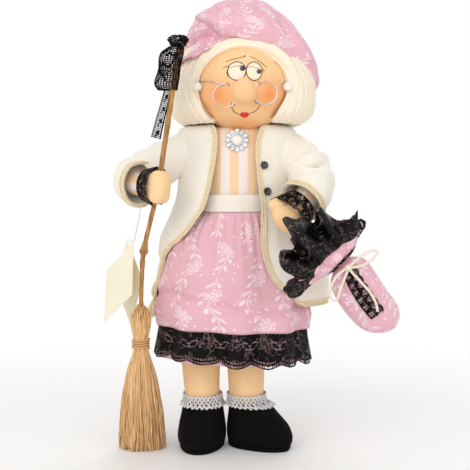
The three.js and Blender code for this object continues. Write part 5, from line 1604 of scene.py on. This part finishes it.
def makeCuffLace(word, shape, wrist, way, tall, flat):
    low, high = shape["lace"]

    def laceSurface(u, v):
        turn = u * 2 * pi
        ripple = cos(9 * turn + 2 * ringWander(turn, 2, shape["side"]))
        reach = 12.6 + shape["flare"] * (v ** 0.7 + 0.28 * v * ripple)
        spot = wrist + way * (low + (high - low) * v + 0.8 * v * ripple)
        return spot + tall * (1.12 * reach * sin(turn)) + flat * (0.86 * reach * cos(turn))

    laceStrip(f"cuffLace_{word}", laceSurface, (120, high - low), 12, shape["body"], blackLace,
              f"cuff_lace_{word}", 0.7)


def makeHand(word, shape, start, way, tall, flat):
    body = shape["body"]

    def squared(value):
        return copysign(abs(value) ** shape["square"], value)

    def handSurface(u, v):
        turn = u * 2 * pi
        share = 1 - (1 - v) ** 1.6 if v > 0.02 else v
        high, thick = handSize(share)
        if v < 0.02:
            high, thick = high * v / 0.02, thick * v / 0.02
        cleft = 1 - 0.2 * hump(turn - pi / 2 + 0.6, 0.2) * clamp((share - 0.35) * 3)
        spot = start + way * (mitten["length"] * share)
        return spot + tall * (high * cleft * squared(sin(turn))) + flat * (thick * cleft * squared(cos(turn)))

    makePadded(f"handCloth_{word}", (56, 40), handSurface, (80, 40), body, handCotton, f"hand_{word}")
    if word == "left":
        thumbAt = start + way * mitten["thumbAhead"] + tall * mitten["thumbUp"]
        thumb = addBall("thumbCloth_left", thumbAt, mitten["thumb"])
        dress(thumb, body, handCotton)
    face = flat if flat.y < 0 else -flat
    for number, lift in enumerate(mitten["stitchLifts"]):
        run = []
        for i in range(9):
            share = 0.62 + 0.33 * i / 8
            high, thick = handSize(share)
            bulge = thick * sqrt(max(0, 1 - (lift / high) ** 2)) ** shape["square"]
            run.append(start + way * (mitten["length"] * share) + tall * lift + face * bulge)
        seam = asMesh(tubeCurve(f"handStitch_{word}{number}", [run], mitten["stitchRadius"], 1))
        dress(seam, body, legCottonPaintedLight)


def makeArm(word):
    shape = armShapes[word]
    onFrame = armCurve(shape)
    way = Vector(shape["way"]).normalized()
    tall = Vector(shape["tall"])
    tall = (tall - way * tall.dot(way)).normalized()
    flat = way.cross(tall)
    wrist = Vector(shape["cuff"]) + mitten["wrist"] * way
    makeSleeve(word, shape, onFrame)
    arm = makeForearm(word, shape, onFrame, way)
    makeCuffLace(word, shape, wrist, way, tall, flat)
    makeHand(word, shape, wrist + way * mitten["gap"], way, tall, flat)


makeArm("right")
makeArm("left")
print("arms done")

# Broom

broom = {
    "grip": (-76.44, -54.48, 258.54), "leanY": -0.155,
    "knots": [(198, 2.5, 2.6), (203, 1.2, 2), (186, 0.8, 3), (316, 0.5, 3)],
    "foot": 112, "top": 386, "radius": 2.4, "strands": 900, "strandRadius": 0.42, "bound": 107,
    "flatness": 0.72,
}
bundle = along([
    # height, radius
    (0.6, 23.6), (30, 21.4), (55, 18.4), (80, 13.4), (100, 7.2),
    (107, 6.2), (114, 7.2), (124, 9.4), (133, 10), (150, 8.6),
])
stickRun = along([
    # height, across
    (60, -97), (107, -96.4), (132, -95.7), (150, -94.9), (175, -93.6), (198, -91.4),
    (228, -84), (258.5, -76.44), (320, -66), (386, -54.8), (400, -52.4),
])


def onHandle(z):
    return Vector((stickRun(max(z, 60))[0], broom["grip"][1] + broom["leanY"] * (z - broom["grip"][2]), z))


def makeHandle():
    points, radii = [], []
    for i in range(81):
        z = broom["foot"] + (broom["top"] - broom["foot"]) * i / 80
        knot = sum(high * hump(z - spot, wide) for spot, high, wide in broom["knots"])
        p = onHandle(z)
        points.append((p.x + 0.5 * wander(z / 30, 1), p.y + 0.5 * wander(z / 30, 5), z))
        swell = 0.84 + 0.16 * clamp((z - 180) / 90) + 0.08 * wander(z / 12, 9)
        radii.append(broom["radius"] * swell + knot)
    handle = asMesh(tubeCurve("twigHandle", [points], 1.0, 4, radii))
    return dress(handle, "broom", peeledTwig, "broom_handle")


straw = {
    "heights": (150, 142, 133, 124, 114, 107, 100, 92, 82, 72, 61, 50, 38, 26, 13, 0),
    "foot": 0.5, "uneven": 7, "shortBy": 8, "shortShare": 0.1, "top": 127, "tuft": 22, "sway": 0.25,
}


def makeStraws():
    runs = []
    for i in range(broom["strands"]):
        turn = dice.uniform(0, 2 * pi)
        share = sqrt(dice.uniform(0.06, 1))
        foot = straw["foot"] + straw["uneven"] * dice.random() ** 2
        foot += straw["shortBy"] if dice.random() < straw["shortShare"] else 0
        top = straw["top"] + straw["tuft"] * dice.random() ** 1.3 * (1.15 - 0.6 * share)
        sway = dice.uniform(-straw["sway"], straw["sway"])
        run = []
        for z in straw["heights"]:
            z = min(top, max(foot, z))
            fan = clamp((broom["bound"] - z) / broom["bound"])
            angle = turn + sway * fan
            radius = bundle(z)[0] * share * (1 + 0.1 * fan * wander(i * 1.7, z / 25))
            middle = onHandle(z)
            x = middle.x + radius * cos(angle) + 1.1 * fan * wander(i * 2.3, z / 16, 3)
            y = middle.y + radius * broom["flatness"] * sin(angle) + 0.9 * fan * wander(i * 2.9, z / 16, 7)
            if not run or run[-1][2] - z > 0.2:
                run.append((x, y, z))
        if len(run) > 3:
            runs.append(run)
    straws = asMesh(tubeCurve("strawBundle", runs, broom["strandRadius"], 0))
    return dress(straws, "broom", dryStraw, "broom_straws")


binding = {"low": 102.2, "rise": 9.8, "turns": 4.2, "out": 1.5, "radius": 1.0, "steps": 160}


def makeBinding():
    points = []
    for i in range(binding["steps"] + 1):
        share = i / binding["steps"]
        turn = share * binding["turns"] * 2 * pi
        z = binding["low"] + binding["rise"] * share
        radius = bundle(z)[0] + binding["out"]
        middle = onHandle(z)
        points.append((middle.x + radius * cos(turn), middle.y + radius * broom["flatness"] * sin(turn), z))
    string = asMesh(tubeCurve("binding", [points], binding["radius"], 3))
    return dress(string, "broom", bindingString, "broom_binding")


makeHandle()
makeStraws()
makeBinding()
bow = {
    "puffAt": 389, "puffWide": 15, "puffHigh": 11, "loopTop": 384, "loopFoot": 346, "loopWide": 21,
    "loopShift": 4.4, "loopDeep": 4, "tailLong": 43, "tailWide": 9, "tailShift": 4.5, "tailLean": 0.27,
}


def puffSurface(u, v):
    turn = u * 2 * pi
    rise = -cos(pi * v)
    out = sin(pi * v)
    crush = 1 + 0.16 * cos(7 * turn + 4 * v) + 0.3 * ringWander(turn, 2, v * 4)
    middle = onHandle(bow["puffAt"])
    return (
        middle.x - 1.5 + bow["puffWide"] / 2 * 1.1 * out * crush * cos(turn),
        middle.y + bow["puffWide"] / 2 * out * crush * sin(turn),
        middle.z + bow["puffHigh"] / 2 * rise * (0.85 + 0.25 * crush * out),
    )


laceStrip("bowPuff", puffSurface, (52, 24), 13, "broom", blackLace, "broom_bow_puff",
          0.7)
loopSize = along([(0, 0.68), (0.14, 0.98), (0.5, 0.95), (0.85, 1.03), (1, 0.84)])


def loopSurface(u, v):
    # a flat loop of lace that hangs from the puff on the stick's outer side
    u, v = v, u
    z = bow["loopTop"] - u * (bow["loopTop"] - bow["loopFoot"])
    turn = v * 2 * pi
    middle = onHandle(z)
    half = bow["loopWide"] / 2 * loopSize(u)[0]
    return (
        middle.x + bow["loopShift"] - half + half * cos(turn) + 0.8 * wander(u * 3, v * 3),
        middle.y + bow["loopDeep"] * sin(turn) + 0.6 * wander(u * 4, v * 3, 5),
        z + 0.8 * wander(u * 3, cos(turn), 8),
    )


laceStrip("bowLoop", loopSurface, (48, 40), 16, "broom", blackLace, "broom_bow_loop",
          0.6, sheerOpen)


def tailSurface(u, v):
    fall = u * bow["tailLong"]
    spread = (v - 0.5) * bow["tailWide"] * (0.7 + 0.3 * u)
    middle = onHandle(bow["loopFoot"])
    return (
        middle.x - bow["tailShift"] - bow["tailLean"] * fall + spread,
        middle.y + 0.12 * fall + 1.5 * sin(v * pi) * (1 - 0.5 * u) + 0.8 * sin(u * 7),
        bow["loopFoot"] - fall - 0.25 * spread,
    )


laceStrip("bowTail", tailSurface, (44, 10), 11, "broom", blackLace, "broom_bow_tail",
          0.55, sheerOpen)
print("broom done")

# Bag

bag = {
    "tie": (94, -74, 191), "tip": (140, -64, 128), "halfWidth": 21.5, "halfDepth": 16,
    "sag": (5, 0, 1), "knotRadius": 3.2, "cordRadius": 1.2,
}
bagTie, bagTip, bagSag = Vector(bag["tie"]), Vector(bag["tip"]), Vector(bag["sag"])
bagWay = (bagTip - bagTie).normalized()
bagAcross = bagWay.cross(Vector((0, 1, 0))).normalized()
bagUp = bagAcross.cross(bagWay)
bagSize = along([
    (0, 0.267), (0.06, 0.62), (0.16, 0.9), (0.34, 1), (0.6, 1), (0.84, 0.86), (0.95, 0.58), (1, 0.3),
])


def sackMiddle(share):
    return bagTie.lerp(bagTip, share) - bagSag * sin(pi * clamp(share))


def sackPoint(share, turn, out=0.0):
    size = bagSize(clamp(share))[0]
    pucker = cos(13 * turn + 2 * ringWander(turn, 2))
    width = bag["halfWidth"] * size + out + 1.3 * pucker * exp(-share / 0.22)
    depth = bag["halfDepth"] * size + out + 1.3 * pucker * exp(-share / 0.22)
    dent = 1.2 * ringWander(turn, 1.5, share * 3)
    return sackMiddle(share) + bagAcross * ((width + dent) * cos(turn)) + bagUp * ((depth + dent) * sin(turn))


def sackSurface(u, v):
    turn = u * 2 * pi
    share, shrink = drawnEnds(v, 0.03, 0.04)
    spot = sackPoint(share, turn)
    middle = sackMiddle(share)
    return middle + (spot - middle) * max(shrink, 0.001)


makePadded("sackCloth", (110, 60), sackSurface, (130, 85), "bag", floralCotton, "bag_sack")


mouth = {
    "neck": 7.8, "wide": 37, "deep": 4, "lowEnd": 0.68, "waves": 11, "waveDepth": 6.2, "waveLift": 3.2,
    "lean": Vector((-17, -9, 0)), "gape": Vector((-17, 0, 24)),
    "length": Vector((0.69, 0, 0.725)), "rise": Vector((-0.725, 0, 0.69)),  # ways of the opening's oval
}


def mouthPoint(share, turn, out=0.0, ruffle=1.0):
    spread = share ** 0.8
    roll = mouth["waves"] * turn + 2.2 * ringWander(turn, 1.5)
    wave = mouth["waveDepth"] * ruffle * share ** 2 * cos(roll)
    lowEnd = mouth["lowEnd"] if cos(turn) < 0 else 1
    halfWidth = mouth["neck"] + mouth["wide"] * spread * lowEnd + 0.5 * wave + out
    halfDepth = mouth["neck"] + mouth["deep"] * spread + wave + out
    pucker = 0.8 * cos(22 * turn) * exp(-share / 0.3)
    lift = mouth["waveLift"] * ruffle * share ** 3 * sin(roll + 0.8)
    return (
        bagTie + mouth["lean"] * share + mouth["gape"] * share * share * sin(turn) ** 2
        + mouth["length"] * (halfWidth + pucker) * cos(turn)
        + Vector((0, 1, 0)) * (halfDepth + pucker) * sin(turn)
        + mouth["rise"] * lift
    )


def mouthSurface(u, v):
    return mouthPoint(v, u * 2 * pi)


makeSheet("mouthCloth", (180, 36), mouthSurface, (240, 60), "bag", floralCotton, "bag_mouth",
          1.0)


bagRuffles = [
    # piece, node, share where it starts and ends, distance from the mouth, phase
    ("bagLace", "bag_lace", 0.54, 1.12, 2.6, 0),
    ("bagLaceOuter", None, 0.68, 1.12, 4.4, 2.1),
]


def makeBagRuffle(name, node, low, high, out, phase):
    def surface(u, v):
        turn = u * 2 * pi
        lobes = 9 * turn + phase + 2.4 * ringWander(turn, 1.7, phase)
        room = 0.57 - 0.33 * sin(turn)
        front = clamp(-sin(turn))
        end = high + 0.1 * front - 0.1 * (1 - front) * clamp(cos(turn)) - 0.2 * clamp(sin(turn))
        start = low + 0.14 * clamp(-cos(turn))
        crumple = 25 * turn + 4 * ringWander(turn, 2, phase + v)
        crush = ringWander(turn, 6, 3 * v + phase)
        uneven = 0.035 * (1 - 0.6 * clamp(cos(turn)))
        share = start + (end - start) * v + uneven * v * (sin(lobes + 1) + sin(crumple) + crush)
        frill = room * v * (2.3 * cos(lobes) + 2 * cos(crumple) + 1.4 * crush)
        return mouthPoint(share, turn, out * room + frill, 1.25)

    laceStrip(name, surface, (440, 40), 11, "bag", shinyLace, node,
              0.8, ruffleOpen)


for ruffle in bagRuffles:
    makeBagRuffle(*ruffle)


bagTrim = {
    # shares along the mouth or the sack, and the distance from the cloth in mm
    "neckFrom": 0.07, "neckWidth": 0.14, "neckOut": 1.6, "neckFrills": 15,
    "stripFrom": 0.1, "stripLength": 0.62, "stripTurn": 0.72, "stripOut": 1.1,
}


def bandLaceSurface(u, v):
    turn = u * 2 * pi
    frill = 0.7 * cos(bagTrim["neckFrills"] * turn) * abs(2 * v - 1)
    return mouthPoint(bagTrim["neckFrom"] + bagTrim["neckWidth"] * v, turn, bagTrim["neckOut"] + frill)


laceStrip("neckLace", bandLaceSurface, (84, 7), 7, "bag", blackLace, "bag_band",
          0.6)


def stripSurface(u, v):
    share = bagTrim["stripFrom"] + bagTrim["stripLength"] * u
    turn = -pi / 2 + (v - 0.5) * bagTrim["stripTurn"]
    return sackPoint(share, turn, bagTrim["stripOut"])


laceStrip("sackLace", stripSurface, (56, 14), 9, "bag", blackLace, "bag_strip",
          0.6)

knotAt = sackPoint(0.055, -pi / 2, 4.0)
knot = addBall("cordKnot", knotAt, [bag["knotRadius"] * k for k in (1.05, 0.95, 1.0)], 28, 16)
dress(knot, "bag", creamCord, "bag_cord_knot")


def knotFace(x, y, z):
    return Vector((x, y, z)).normalized() * (bag["knotRadius"] + 0.2)


def makeBagCord(name, node, start, middle, end):
    points = [knotAt + knotFace(*start)] + [knotAt + Vector(p) for p in middle]
    if end:
        points.append(knotAt + knotFace(*end))
    run = smoothPath(points, 10)
    cord = tubeCurve(name, [run], bag["cordRadius"], 3)
    dress(cord, "bag", creamCord, node)


makeBagCord("cordUpper", "bag_cord_upper", (1, -0.3, 0.1),
            [(13, -3, 3), (23, -2, 10), (25, -2, 15), (18, -2, 15), (9, -2, 9)], (0.6, -0.1, 0.8))
makeBagCord("cordLower", "bag_cord_lower", (-1, -0.3, -0.3),
            [(-12, -5, -8), (-17, -5, -19), (-16, -5, -27), (-11, -5, -28), (-7, -5, -16)],
            (-0.4, -0.5, -1))
makeBagCord("cordTail", "bag_cord_tail", (0.5, -0.6, -0.8),
            [(9, -8, -11), (17, -11, -20), (23, -9, -30), (25, -7, -38)], None)
print("bag done")

# Tags

cards = [bpy.data.objects[f"tag_{word}"] for word in ("front", "back")]
for card in cards:
    paint(card, creamCard)
threadRadius = 0.5
threadRun = smoothPath([
    (-94.4, -38, 243.2), (-97, -35, 228), (-100.5, -28, 216),
    (-103.45, -19.45, 206.05), (-108, -6, 204.5), (-113.35, 6, 206.65),
], 10)
thread = tubeCurve("tagThread", [threadRun], threadRadius, 2)
dress(thread, "tags", creamCord, "tag_thread")
print("tags done")

# Wooden dowels inside, kept as they are in the CAD

for name in ("neck_dowel", "leg_dowel_right", "leg_dowel_left"):
    paint(bpy.data.objects[name], dowelWood)
